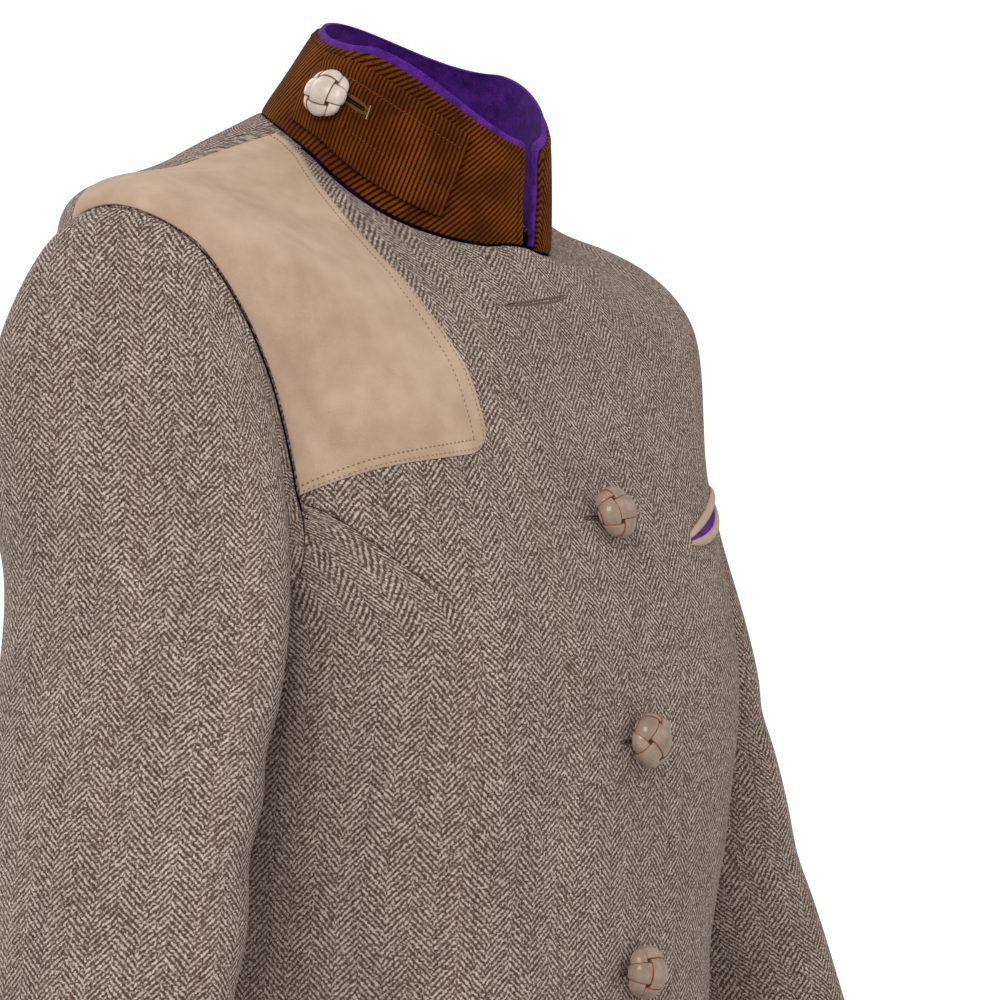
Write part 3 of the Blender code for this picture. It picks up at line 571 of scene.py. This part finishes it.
# ---------------------------------------------------------------- collar
# A stand collar of needle cord, cut on the bias so that its ribs run up to the front, bagged
# out with purple felt that stands a little above it. A line of stitches holds the edge flat.
COLLAR = np.array([
    # half width, side y, front y, back y, side z, front z, back z, squareness, tilt
    (0.0690, 0.000, -0.0650, 0.0650, -0.0124, -0.0520, 0.0170, 2.0, 1.0),
    (0.0605, -0.008, -0.0675, 0.0510, 0.0125, -0.0280, 0.0380, 2.0, 0.6),
    (0.0520, -0.016, -0.0690, 0.0375, 0.0375, -0.0046, 0.0596, 2.0, 0.2),
])
COLLAR_HEIGHT, COLLAR_ENDS = 0.048, (1.0, 351.5)
CORD, FELT, COLLAR_LIP = 0.0014, 0.0020, 0.0034


def collar(turn, up, out=0.0):
    turn, up, out = np.broadcast_arrays(*(np.asarray(v, float) for v in (turn, up, out)))
    p = moved_out(lambda a, b: ring(COLLAR, a, b * 2), turn, up, out, 0.2, 0.01, 1)
    lift = np.where(turn < 180, lap_lift(turn), 0)
    step = body(turn, NECK, lift) - body(turn, NECK)
    return p + step * (1 - smooth_step(0, 0.5, up))[..., None]


def needle_cord(slant):
    """Ribs of cord 2 mm apart: a rust pile on top, with painted shade nearly black in the valleys between them."""
    def drawn(start):
        u, v = flat_place(start)
        c, s = math.cos(math.radians(slant)), math.sin(math.radians(slant))
        stray = start.noise(120.0, 2.0)
        rib = ((u * c + v * s) / 2.0 + (stray - 0.5) * 0.25) * math.pi
        rib = rib.sum("SINE").sum("ABSOLUTE").sum("POWER", 0.8)
        pile = start.noise(2600.0, 2.0)
        brushed = start.noise(45.0, 3.0).between(0.3, 0.75)
        rust = brushed.mixed((0.115, 0.022, 0.0004, 1), (0.285, 0.070, 0.0016, 1))
        # tone runs from painted shade, nearly black, in the valleys between the ribs to the rust pile on their tops
        tone = (rib + (pile - 0.5) * 0.8).between(0.36, 1.10)
        return tone.mixed((0.009, 0.002, 0.0006, 1), rust), rib + pile * 0.2, 0.0007
    return drawn


def felt_hair(start):
    """Purple wool felt, a little paler where the fibres stand up."""
    cloud = start.noise(130.0, 4.0, 0.6)
    hair = start.noise(1500.0, 3.0, 0.7)
    tone = (cloud * 0.7 + hair * 0.6).between(0.42, 0.92)
    return tone.mixed((0.024, 0.002, 0.095, 1), (0.155, 0.026, 0.390, 1)), hair + cloud * 0.6, 0.0005


def collar_grid(first, last, bottom, top, round_start, round_end):
    """Turns and ups of a strip of the collar, with its upper corners rounded off."""
    turn = np.concatenate([np.linspace(first, first + 6, 16)[:-1], np.linspace(first + 6, last - 6, 240),
                           np.linspace(last - 6, last, 16)[1:]])
    turn, t = np.meshgrid(turn, np.concatenate([EDGE, np.linspace(0.06, 0.94, 14), 1 - EDGE[::-1]]))
    drop = np.zeros_like(turn)
    for end, reach in ((first, round_start), (last, round_end)):
        off = np.clip(np.abs(turn - end) / reach, 0, 1)
        drop = np.maximum(drop, 1 - np.sqrt(1 - (1 - off) ** 2))
    return turn, bottom + (top - drop * 0.085 - bottom) * t


def collar_layout(points):
    long = np.cumsum(np.linalg.norm(np.diff(points, axis=1), axis=-1), 1)
    tall = np.cumsum(np.linalg.norm(np.diff(points, axis=0), axis=-1), 0)
    return np.stack([np.concatenate([np.zeros((len(points), 1)), long], 1),
                     np.concatenate([np.zeros((1, points.shape[1])), tall])], -1)


bias_cord = finish("bias_cord", needle_cord(45.0), sheen=0.12, sheen_colour=(1.0, 0.40, 0.04, 1))
felt = finish("felt", felt_hair, sheen=0.30, sheen_colour=(0.55, 0.28, 1.0, 1))
base = SEAM / COLLAR_HEIGHT * 1.3
turn, up = collar_grid(COLLAR_ENDS[0] + 2.0, COLLAR_ENDS[1] - 2.0, base, 1 - COLLAR_LIP / COLLAR_HEIGHT, 3.5, 3.5)
cloth_piece("collar_outer", turn, up, 0.0, 0, form=collar, materials=(bias_cord,),
            wall=CORD, layout=collar_layout(collar(turn, up)))
turn, up = collar_grid(*COLLAR_ENDS, base + 0.035, 1.0, 4.0, 4.0)
cloth_piece("collar_inner", turn, up, -(CORD + SEAM), 0, form=collar, materials=(felt,),
            wall=FELT, layout=collar_layout(collar(turn, up)))


def thread(dark, light):
    """Twisted thread."""
    def drawn(start):
        twist = start.noise(3500.0, 1.0)
        return twist.mixed(dark, light), twist, 0.00005
    return drawn


def stitch_row(name, points, outward, long, pitch, thick, material):
    """Separate stitches along a line on the cloth, each a small spindle half sunk in it."""
    length = np.concatenate([[0], np.cumsum(np.linalg.norm(np.diff(points, axis=0), axis=-1))])
    at = np.arange(pitch / 2, length[-1], pitch)
    place = np.stack([np.interp(at, length, points[:, i]) for i in range(3)], -1)
    ahead = np.stack([np.interp(at + long / 2, length, points[:, i]) for i in range(3)], -1)
    behind = np.stack([np.interp(at - long / 2, length, points[:, i]) for i in range(3)], -1)
    out = np.stack([np.interp(at, length, outward[:, i]) for i in range(3)], -1)
    out /= np.linalg.norm(out, axis=-1, keepdims=True)
    way = ahead - behind
    way /= np.linalg.norm(way, axis=-1, keepdims=True)
    across = np.cross(way, out)
    vertices, faces = [], []
    for p, w, o, a in zip(place, way, out, across):
        start = len(vertices)
        for t, r in ((-0.5, 0.35), (-0.3, 0.9), (0.3, 0.9), (0.5, 0.35)):
            lift = o * (0.0001 if abs(t) < 0.4 else -0.00015)
            for k in range(6):
                angle = math.pi / 3 * k
                vertices.append(p + w * long * t + lift + (a * math.cos(angle) + o * math.sin(angle)) * thick * r / 2)
        for j in range(3):
            for k in range(6):
                faces.append((start + j * 6 + k, start + j * 6 + (k + 1) % 6,
                              start + j * 6 + 6 + (k + 1) % 6, start + j * 6 + 6 + k))
        faces.append(tuple(start + 5 - k for k in range(6)))
        faces.append(tuple(start + 18 + k for k in range(6)))
    mesh = bpy.data.meshes.new(name)
    mesh.from_pydata([tuple(v) for v in vertices], [], faces)
    mesh.materials.append(material)
    mesh.polygons.foreach_set("use_smooth", [True] * len(mesh.polygons))
    bm = bmesh.new()
    bm.from_mesh(mesh)
    bmesh.ops.recalc_face_normals(bm, faces=bm.faces)
    bm.to_mesh(mesh)
    bm.free()
    piece = bpy.data.objects.new(name, mesh)
    bpy.context.scene.collection.objects.link(piece)
    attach(piece, "root")
    return piece


def stitched(name, form, a, b, out, long, pitch, thick, material):
    """A row of stitches along a line of a form."""
    a, b, out = np.broadcast_arrays(*(np.asarray(v, float) for v in (a, b, out)))
    points = form(a, b, out)
    return stitch_row(name, points, form(a, b, out + 0.001) - points, long, pitch, thick, material)


rust_thread = finish("rust_thread", thread((0.035, 0.010, 0.001, 1), (0.090, 0.030, 0.003, 1)), roughness=0.6)
plum_thread = finish("plum_thread", thread((0.030, 0.004, 0.120, 1), (0.060, 0.010, 0.220, 1)), roughness=0.6)
long_way = np.linspace(COLLAR_ENDS[0] + 7.5, COLLAR_ENDS[1] - 7.5, 400)
stitched("collar_top_stitches", collar, long_way, 1 - (COLLAR_LIP + 0.0024) / COLLAR_HEIGHT, -0.0003,
         0.0017, 0.0024, 0.0005, rust_thread)
for name, at in (("right", COLLAR_ENDS[0] + 5.6), ("left", COLLAR_ENDS[1] - 5.6)):
    stitched("collar_" + name + "_end_stitches", collar, at, np.linspace(0.04, 0.86, 40), 0.0,
             0.0017, 0.0024, 0.0006, rust_thread)
stitched("collar_inner_stitches", collar, np.linspace(8, 344, 400), 1 - 0.0062 / COLLAR_HEIGHT,
         -(CORD + SEAM + FELT * 0.9) + 0.0001, 0.0018, 0.0026, 0.0005, plum_thread)

# ---------------------------------------------------------------- collar tab
# A cord tab with its ribs across it, sewn on at the front and buttoned behind the ear. Two
# pleat-like lines of stitches run along it, and its buttonhole ends in a pale bar.
TAB_TURN, TAB_UP, TAB_THICK = (39.0, 111.0), (0.13, 0.82), 0.0024
TAB_BUTTON = (91.5, 0.47)
# corners of the tab, as turn and up
TAB_CORNERS = {"back top": (108.5, 0.84), "back point": (112.0, 0.50), "back low": (103.5, 0.14),
               "front low": (41.0, 0.12), "front top": (35.5, 0.78)}


def tab_place(t, w):
    """Turn and up of a place on the tab: t from its front to its back, w from low to high."""
    low, high = np.array(TAB_CORNERS["front low"]), np.array(TAB_CORNERS["front top"])
    back_low, back_high = np.array(TAB_CORNERS["back low"]), np.array(TAB_CORNERS["back top"])
    t, w = np.broadcast_arrays(np.asarray(t, float), np.asarray(w, float))
    front = low + (high - low) * w[..., None]
    back = back_low + (back_high - back_low) * w[..., None]
    back = back + np.stack([4.2 * (1 - np.abs(2 * w - 0.75) ** 1.5), 0 * w], -1) * (t[..., None] > 0.5)
    place = front + (back - front) * t[..., None]
    return place[..., 0], place[..., 1]


straight_cord = finish("straight_cord", needle_cord(0.0), sheen=0.12, sheen_colour=(1.0, 0.40, 0.04, 1))
t, w = np.meshgrid(np.concatenate([EDGE * 0.6, np.linspace(0.03, 0.97, 90), 1 - 0.6 * EDGE[::-1]]),
                   np.concatenate([EDGE, np.linspace(0.06, 0.94, 24), 1 - EDGE[::-1]]))
turn, up = tab_place(t, w)
pleat = -0.0011 * (np.exp(-((w - 0.80) / 0.045) ** 2) + np.exp(-((w - 0.30) / 0.045) ** 2) * (t < 0.62))
swell = 0.0012 * np.sin(np.pi * w) ** 0.7 * np.sin(np.pi * np.clip(t, 0.03, 0.97)) ** 0.5
cloth_piece("collar_tab", turn, up, TAB_THICK + 0.0011 + pleat + swell, 0, form=collar,
            materials=(straight_cord,), wall=TAB_THICK,
            layout=collar_layout(collar(turn, up)))
tan_thread = finish("tan_thread", thread((0.115, 0.060, 0.022, 1), (0.260, 0.150, 0.070, 1)), roughness=0.6)
for name, w, ends in (("upper", 0.80, (0.03, 0.72)), ("lower", 0.30, (0.05, 0.60))):
    turn, up = tab_place(np.linspace(*ends, 60), np.full(60, w))
    lift = TAB_THICK + 0.0011 + 0.0012 * math.sin(math.pi * w) ** 0.7 * np.sin(np.pi * np.linspace(*ends, 60)) ** 0.5
    stitched("tab_" + name + "_stitches", collar, turn, up, lift - 0.0010, 0.0014, 0.0021, 0.0004,
             tan_thread)

# ---------------------------------------------------------------- gun patch
# A tan suede patch from the front of the right shoulder over onto the back. It is caught in
# the armhole seam and sewn down with two rows of stitches, its lower corner rounded.
SUEDE, PATCH_LIFT = 0.0010, 0.0004
PATCH = np.array([
    # armhole level, armhole turn, inner level, inner turn
    (6.655, 68.2, 7.160, 20.0), (6.79, 67.5, 7.42, 18.8), (7.06, 66.2, 7.67, 18.8), (7.27, 65.1, 7.85, 20.3),
    (7.49, 64.8, 8.15, 24.6), (7.68, 66.3, 8.59, 33.4), (7.84, 69.8, 8.93, 43.0), (7.92, 75.5, 9.25, 53.0),
    (7.97, 83.0, 9.59, 68.0), (7.99, 91.5, 9.82, 85.0), (7.96, 98.0, 9.92, 98.0), (7.90, 103.0, 9.92, 107.0)])
ROUND_UP, ROUND_IN = 0.62, 0.10     # the rounded corner's share of the first row and of the width


def patch_place(s, t):
    """Turn and level on the patch: s up from its lower edge, t from the armhole inwards."""
    s, t = np.broadcast_arrays(np.asarray(s, float), np.asarray(t, float))
    b = np.clip((ROUND_UP - s) / ROUND_UP, 0, 1)
    a = np.clip((t - 1 + ROUND_IN) / ROUND_IN, 0, 1)
    s = np.where(s < ROUND_UP, ROUND_UP * (1 - b * np.sqrt(1 - a * a / 2)), s)
    t = np.where(t > 1 - ROUND_IN, 1 - ROUND_IN + ROUND_IN * a * np.sqrt(1 - b * b / 2), t)
    rows = through(PATCH, s)
    return rows[..., 1] + (rows[..., 3] - rows[..., 1]) * t, rows[..., 0] + (rows[..., 2] - rows[..., 0]) * t


def nap(start):
    """Tan suede: a soft nap brushed in patches, with a fine grain."""
    brushed = start.noise(22.0, 3.0, 0.55).between(0.34, 0.68)
    small = start.noise(110.0, 3.0).between(0.3, 0.75)
    grain_of_hide = start.noise(1700.0, 3.0, 0.65)
    tone = brushed * 0.45 + small * 0.25 + grain_of_hide * 0.45
    return tone.mixed((0.430, 0.286, 0.188, 1), (0.665, 0.492, 0.362, 1)), grain_of_hide + small * 0.3, 0.00025


suede = finish("suede", nap, sheen=0.20, sheen_colour=(1.0, 0.92, 0.85, 1))
s, t = np.meshgrid(np.concatenate([[0, 0.02, 0.05], np.linspace(0.09, 0.62, 14), np.linspace(0.7, len(PATCH) - 1.05, 150),
                                   [len(PATCH) - 1.03, len(PATCH) - 1.012, len(PATCH) - 1]]),
                   np.concatenate([EDGE, np.linspace(0.04, 0.88, 50), np.linspace(0.90, 0.98, 10), 1 - EDGE[2::-1]]),
                   indexing="ij")
turn, level = patch_place(s, t)
cloth_piece("shoulder_patch", turn, level, lap_lift(turn) + PATCH_LIFT + SUEDE, 0,
            materials=(suede,), wall=SUEDE)
patch_thread = finish("patch_thread", thread((0.200, 0.118, 0.070, 1), (0.330, 0.215, 0.140, 1)), roughness=0.7)
for name, inset, thick in (("outer", 0.0020, 0.00032), ("inner", 0.0066, 0.00042)):
    low_t = np.linspace(0.01, 1 - inset / 0.098, 90)
    up_s = np.linspace(inset / 0.019, len(PATCH) - 1.02, 400)[1:]
    widths = np.linalg.norm(body(*patch_place(up_s, 1.0)) - body(*patch_place(up_s, 0.0)), axis=-1)
    s = np.concatenate([np.full(90, inset / 0.019), up_s])
    t = np.concatenate([low_t, 1 - inset / np.maximum(widths, 0.05)])
    turn, level = patch_place(s, t)
    stitched("patch_" + name + "_stitches", body, turn, level, lap_lift(turn) + PATCH_LIFT + SUEDE + 0.00002,
             0.0011, 0.0023, thick, patch_thread)

# ---------------------------------------------------------------- breast pocket
# A slanted pocket on the wearer's left chest, its mouth bound with two rolled suede jets that
# stand open on the purple lining.
POCKET_LOW, POCKET_HIGH = (-17.0, 6.64), (-50.0, 6.88)
JET, JET_THICK, LEVEL_SIZE = 0.0046, 0.0024, 0.062
u = np.linspace(0, 1, 90)
mouth_turn = POCKET_LOW[0] + (POCKET_HIGH[0] - POCKET_LOW[0]) * u
mouth_level = POCKET_LOW[1] + (POCKET_HIGH[1] - POCKET_LOW[1]) * u
gape = 0.0021 * np.sin(np.pi * (u * 0.96 + 0.02)) ** 0.8 + 0.0002
for name, sign in (("pocket_upper_jet", 1), ("pocket_lower_jet", -1)):
    c = np.linspace(0, 1, 14)[:, None]
    taper = np.sin(np.pi * np.clip(u, 0.015, 0.985)) ** 0.25
    across = (gape + c * JET * taper) / LEVEL_SIZE * sign
    crown = JET_THICK * np.sin(np.pi * (0.06 + 0.88 * c)) ** 0.6 * taper
    turn = np.broadcast_to(mouth_turn, across.shape)
    outer = body(turn, mouth_level + across, crown)
    jet = sheet_mesh(name + "_suede", outer, body(turn, mouth_level + across, -0.0004), collar_layout(outer), [suede])
    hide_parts(name)
    stitched(name + "_stitches", body, mouth_turn[2:-2],
             (mouth_level + (gape + JET * 0.98) / LEVEL_SIZE * sign)[2:-2], 0.0002, 0.0012, 0.0020, 0.0003,
             patch_thread)
across = np.linspace(-1, 1, 8)[:, None] * (gape + 0.0006) / LEVEL_SIZE
turn = np.broadcast_to(mouth_turn, across.shape)
lip = 0.0007 * np.abs(np.linspace(-1, 1, 8))[:, None] + 0.0002
outer = body(turn, mouth_level + across, np.broadcast_to(lip, across.shape))
pocket = sheet_mesh("pocket_lining_cloth", outer, body(turn, mouth_level + across, lip - 0.0004), collar_layout(outer), [felt])
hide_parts("pocket_lining")

# ---------------------------------------------------------------- buttonholes
# Worked buttonholes: a narrow oval of close stitches round a slit. The top one, under the
# collar, is undone and shows whole; the others show beside their buttons.


def hole_stitches(dark, light):
    """Close stitches across the slit, with painted shade nearly black inside it."""
    def drawn(start):
        u, v = flat_place(start)
        strand = (u * (2 * math.pi / 0.62)).sum("SINE") * 0.5 + 0.5
        slit = start.node("ShaderNodeAttribute", {"attribute_name": "slit"}, {}, 2)
        lips = (strand * 0.8 + start.noise(1500.0) * 0.3).mixed(dark, light)
        return slit.mixed(lips, (0.006, 0.004, 0.003, 1)), strand, 0.00025
    return drawn


def buttonhole(name, form, start_at, end_at, wide, out, shaded_slit_part, material):
    """A worked hole from one place of a form to another; the slit part, a span of its length, is where it shows open
    and is painted nearly black as shade.
    """
    t = np.linspace(0, 1, 60)
    c = np.linspace(-1, 1, 15)[:, None]
    a = start_at[0] + (end_at[0] - start_at[0]) * t
    b = start_at[1] + (end_at[1] - start_at[1]) * t
    along = form(a, b, out)
    long = np.linalg.norm(along[-1] - along[0])
    step = np.linalg.norm(form(a[:1], b[:1] + 0.02, out) - form(a[:1], b[:1], out)) / 0.02
    half = wide / 2 * (1 - np.abs(2 * t - 1) ** 3.5) ** 0.5 + 0.00005
    rise = 0.0008 * (1 - c ** 2) ** 0.5 * (half / half.max()) - 0.0009 * np.exp(-(c / 0.16) ** 2) * (half / half.max())
    places = b + c * half / step
    turn = np.broadcast_to(a, places.shape)
    outer = form(turn, places, out + rise)
    lay = np.stack([np.broadcast_to(t * long, places.shape), np.broadcast_to(c * half, places.shape)], -1)
    piece = sheet_mesh(name, outer, form(turn, places, out - 0.0008), lay, [material])
    # where the slit shows open, the material paints it nearly black as shade
    painted_slit_shade = np.where((t > shaded_slit_part[0]) & (t < shaded_slit_part[1]), 1.0, 0.0) * (np.abs(c) < 0.30)
    mark = piece.data.attributes.new("slit", "FLOAT", "POINT")
    mark.data.foreach_set("value", np.concatenate([painted_slit_shade.reshape(-1)] * 2).astype(np.float32))
    return piece


taupe_hole = finish("taupe_hole", hole_stitches((0.100, 0.066, 0.050, 1), (0.280, 0.205, 0.160, 1)))
rust_hole = finish("rust_hole", hole_stitches((0.060, 0.024, 0.004, 1), (0.230, 0.120, 0.030, 1)))
buttonhole("top_buttonhole", body, (11.6, 8.57), (-7.6, 8.97), 0.0046, LAP - 0.0004, (0.04, 0.15), taupe_hole)
FRONT_BUTTONS = ((1.3, 6.765), (2.2, 4.825), (2.7, 3.39), (2.7, 2.20))      # turn, level
HOLE_REACH = 3.9         # degrees of turn that a hole shows past its button's middle
for number, (at_turn, at_level) in enumerate(FRONT_BUTTONS, 1):
    buttonhole("front_buttonhole_%d" % number, body, (at_turn + HOLE_REACH, at_level - 0.02),
               (at_turn - 5.0, at_level + 0.03), 0.0034, LAP - 0.0004, (0.06, 0.6), taupe_hole)
tab_lift = TAB_THICK + 0.0020
buttonhole("tab_buttonhole", collar, (92.0, 0.53), (75.0, 0.53), 0.0050, tab_lift + 0.0001, (0.3, 0.88), rust_hole)
pale_thread = finish("pale_thread", thread((0.330, 0.250, 0.150, 1), (0.560, 0.450, 0.300, 1)), roughness=0.6)
stitched("tab_buttonhole_bar", collar, np.full(20, 75.4), np.linspace(0.475, 0.585, 20), tab_lift + 0.0007,
         0.0012, 0.0011, 0.0007, pale_thread)

# ---------------------------------------------------------------- buttons
# Round buttons of woven leather: strips laid over and under each other on a dome, with raw
# edges that show rust between them. Four close the front and a pale one holds the tab.


def woven_leather(pale, deep, raw):
    """Smooth leather strips of uneven tone, raw at their edges, with painted shade nearly black in the holes between
    them and where they dive under.
    """
    def drawn(start):
        gap = start.node("ShaderNodeAttribute", {"attribute_name": "gap"}, {}, 2)
        pores = start.noise(1400.0, 3.0)
        cloud = start.noise(160.0, 2.0)
        hide = (cloud * 0.8 + pores * 0.3).between(0.3, 0.85).mixed(deep, pale)
        edged = gap.between(0.35, 0.75).mixed(hide, raw)
        # the holes between strips, their very edges and the ends that dive under are painted nearly black, as shade
        return gap.between(0.80, 1.0).mixed(edged, (0.030, 0.012, 0.006, 1)), pores, 0.00006
    return drawn


STRIP_HALF = 0.42        # of the pitch of the weave


def woven_button(node, place, outward, across, high, spin, material):
    """A dome with a weave of strips three across, closed below by a short shank."""
    rings, sides = 80, 200
    profile = [(math.sin(math.radians(a)), 0.42 + 0.58 * math.cos(math.radians(a)))
               for a in np.linspace(2, 104, rings)]
    profile += [(0.80, 0.20), (0.30, 0.15), (0.26, 0.0)]
    z = np.asarray(outward, float) / np.linalg.norm(outward)
    x = np.cross((0, 0, 1), z)
    x /= np.linalg.norm(x)
    y = np.cross(z, x)
    pitch = across * 0.46
    vertices, raw_edge_and_shade, faces = [], [], []
    for i, (r, h) in enumerate(profile):
        for k in range(sides):
            angle = 2 * math.pi * k / sides
            lift, gap = 0.0, 0.0
            if i < rings:
                arc = across / 2 * math.radians(np.linspace(2, 104, rings)[i]) * 0.80
                px = arc * math.cos(angle + spin) / pitch + 0.5
                py = arc * math.sin(angle + spin) / pitch + 0.5
                odd = (math.floor(px) + math.floor(py)) % 2
                along, aside = (px, py) if odd else (py, px)
                along, aside = abs(along % 1 - 0.5), abs(aside % 1 - 0.5)
                # the strip on top, else the end of one that dives under it, else the hole between them
                if aside > STRIP_HALF:
                    along, aside = 1 - aside, along
                edge = aside / STRIP_HALF
                # gap marks the strip's raw edge and, nearest 1, painted shade: in the holes, at a strip's very edge
                # and where it dives under another
                if edge > 1:
                    lift, gap = -0.0004, 1.0
                else:
                    lift = 0.0008 * math.sqrt(1 - 0.9 * edge ** 2) + 0.0010 * math.cos(math.pi * along * 0.8)
                    gap = max((edge - 0.80) / 0.20, 0, 1 if 0 < along - (1 - STRIP_HALF) + 0.03 else 0)
            radius = across / 2 * r
            local = np.array([radius * math.cos(angle), radius * math.sin(angle), high * h])
            local *= 1 + lift / max(0.004, float(np.linalg.norm(local))) if i < rings else 1
            vertices.append(tuple(np.asarray(place) + x * local[0] + y * local[1] + z * local[2]))
            raw_edge_and_shade.append(gap)
    for i in range(len(profile) - 1):
        for k in range(sides):
            faces.append((i * sides + k, (i + 1) * sides + k, (i + 1) * sides + (k + 1) % sides, i * sides + (k + 1) % sides))
    faces.append(tuple(range(sides)))
    faces.append(tuple(len(vertices) - 1 - k for k in range(sides)))
    mesh = bpy.data.meshes.new(node + "_woven")
    mesh.from_pydata(vertices, [], faces)
    mesh.materials.append(material)
    bm = bmesh.new()
    bm.from_mesh(mesh)
    bmesh.ops.recalc_face_normals(bm, faces=bm.faces)
    bm.to_mesh(mesh)
    bm.free()
    mark = mesh.attributes.new("gap", "FLOAT", "POINT")
    mark.data.foreach_set("value", raw_edge_and_shade)
    mesh.polygons.foreach_set("use_smooth", [True] * len(mesh.polygons))
    piece = bpy.data.objects.new(node + "_woven", mesh)
    bpy.context.scene.collection.objects.link(piece)
    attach(piece, "root")
    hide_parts(node)
    return piece


BUTTON_ACROSS, BUTTON_HIGH = 0.0208, 0.0135
taupe_leather = finish("taupe_leather", woven_leather((0.430, 0.310, 0.240, 1), (0.280, 0.185, 0.132, 1),
                                                      (0.400, 0.140, 0.035, 1)), roughness=0.33, coat=0.3,
                       gloss=0.5)
pale_leather = finish("pale_leather", woven_leather((0.780, 0.690, 0.600, 1), (0.600, 0.500, 0.410, 1),
                                                    (0.380, 0.215, 0.110, 1)), roughness=0.36, coat=0.25,
                      gloss=0.5)
for number, at in enumerate(FRONT_BUTTONS, 1):
    woven_button("front_button_%d" % number, body(*at, LAP + SEAM), body(*at, 0.001) - body(*at, 0.0),
                 BUTTON_ACROSS, BUTTON_HIGH, 0.5 + 0.9 * number, taupe_leather)
woven_button("tab_button", collar(*TAB_BUTTON, tab_lift + 0.0002), collar(*TAB_BUTTON, 0.001) - collar(*TAB_BUTTON, 0.0),
             BUTTON_ACROSS * 0.93, BUTTON_HIGH * 0.62, 0.35, pale_leather)

# ---------------------------------------------------------------- floor, light and camera
# A pale round floor below the hem, white all round, two large soft lamps, and the camera of
# the photograph: level with the bust, from the wearer's right front.
bpy.ops.object.select_all(action="DESELECT")
bpy.ops.mesh.primitive_circle_add(vertices=96, radius=2.2, fill_type="NGON", location=(0, 0, -0.72))
floor = bpy.context.object
floor.name = "floor"
pale = bpy.data.materials.new("pale_floor")
pale.use_nodes = True
pale.node_tree.nodes["Principled BSDF"].inputs["Base Color"].default_value = (0.86, 0.86, 0.86, 1)
pale.node_tree.nodes["Principled BSDF"].inputs["Roughness"].default_value = 0.7
floor.data.materials.append(pale)
world = bpy.data.worlds.new("studio")
bpy.context.scene.world = world
world.use_nodes = True
ground = world.node_tree.nodes["Background"]
ground.inputs["Color"].default_value = (1.0, 1.0, 1.0, 1)
seen = world.node_tree.nodes.new("ShaderNodeLightPath")
strength = world.node_tree.nodes.new("ShaderNodeMapRange")
strength.inputs["To Min"].default_value = 0.50
strength.inputs["To Max"].default_value = 1.15
world.node_tree.links.new(seen.outputs["Is Camera Ray"], strength.inputs["Value"])
world.node_tree.links.new(strength.outputs["Result"], ground.inputs["Strength"])
bpy.context.scene.view_settings.view_transform = "Standard"
for name, place, size, power in (("key", (-2.3, -1.2, 1.3), 1.4, 40), ("fill", (1.6, -2.2, 0.9), 1.6, 9),
                                 ("back", (0.3, 2.4, 1.5), 1.8, 22)):
    lamp = bpy.data.lights.new(name, "AREA")
    lamp.energy, lamp.size = power, size
    stand = bpy.data.objects.new(name, lamp)
    stand.location = place
    stand.rotation_euler = (Vector((0, 0, -0.2)) - Vector(place)).to_track_quat("-Z", "Y").to_euler()
    bpy.context.scene.collection.objects.link(stand)

view = bpy.data.cameras.new("photo")
view.lens, view.sensor_width = 142.4, 36.0
view.shift_x, view.shift_y = 0.094, 0.194
camera = bpy.data.objects.new("photo", view)
camera.location = (-1.4562, -1.0580, -0.25)
camera.rotation_euler = (math.radians(90), 0, math.radians(-54))
bpy.context.scene.collection.objects.link(camera)
bpy.context.scene.camera = camera
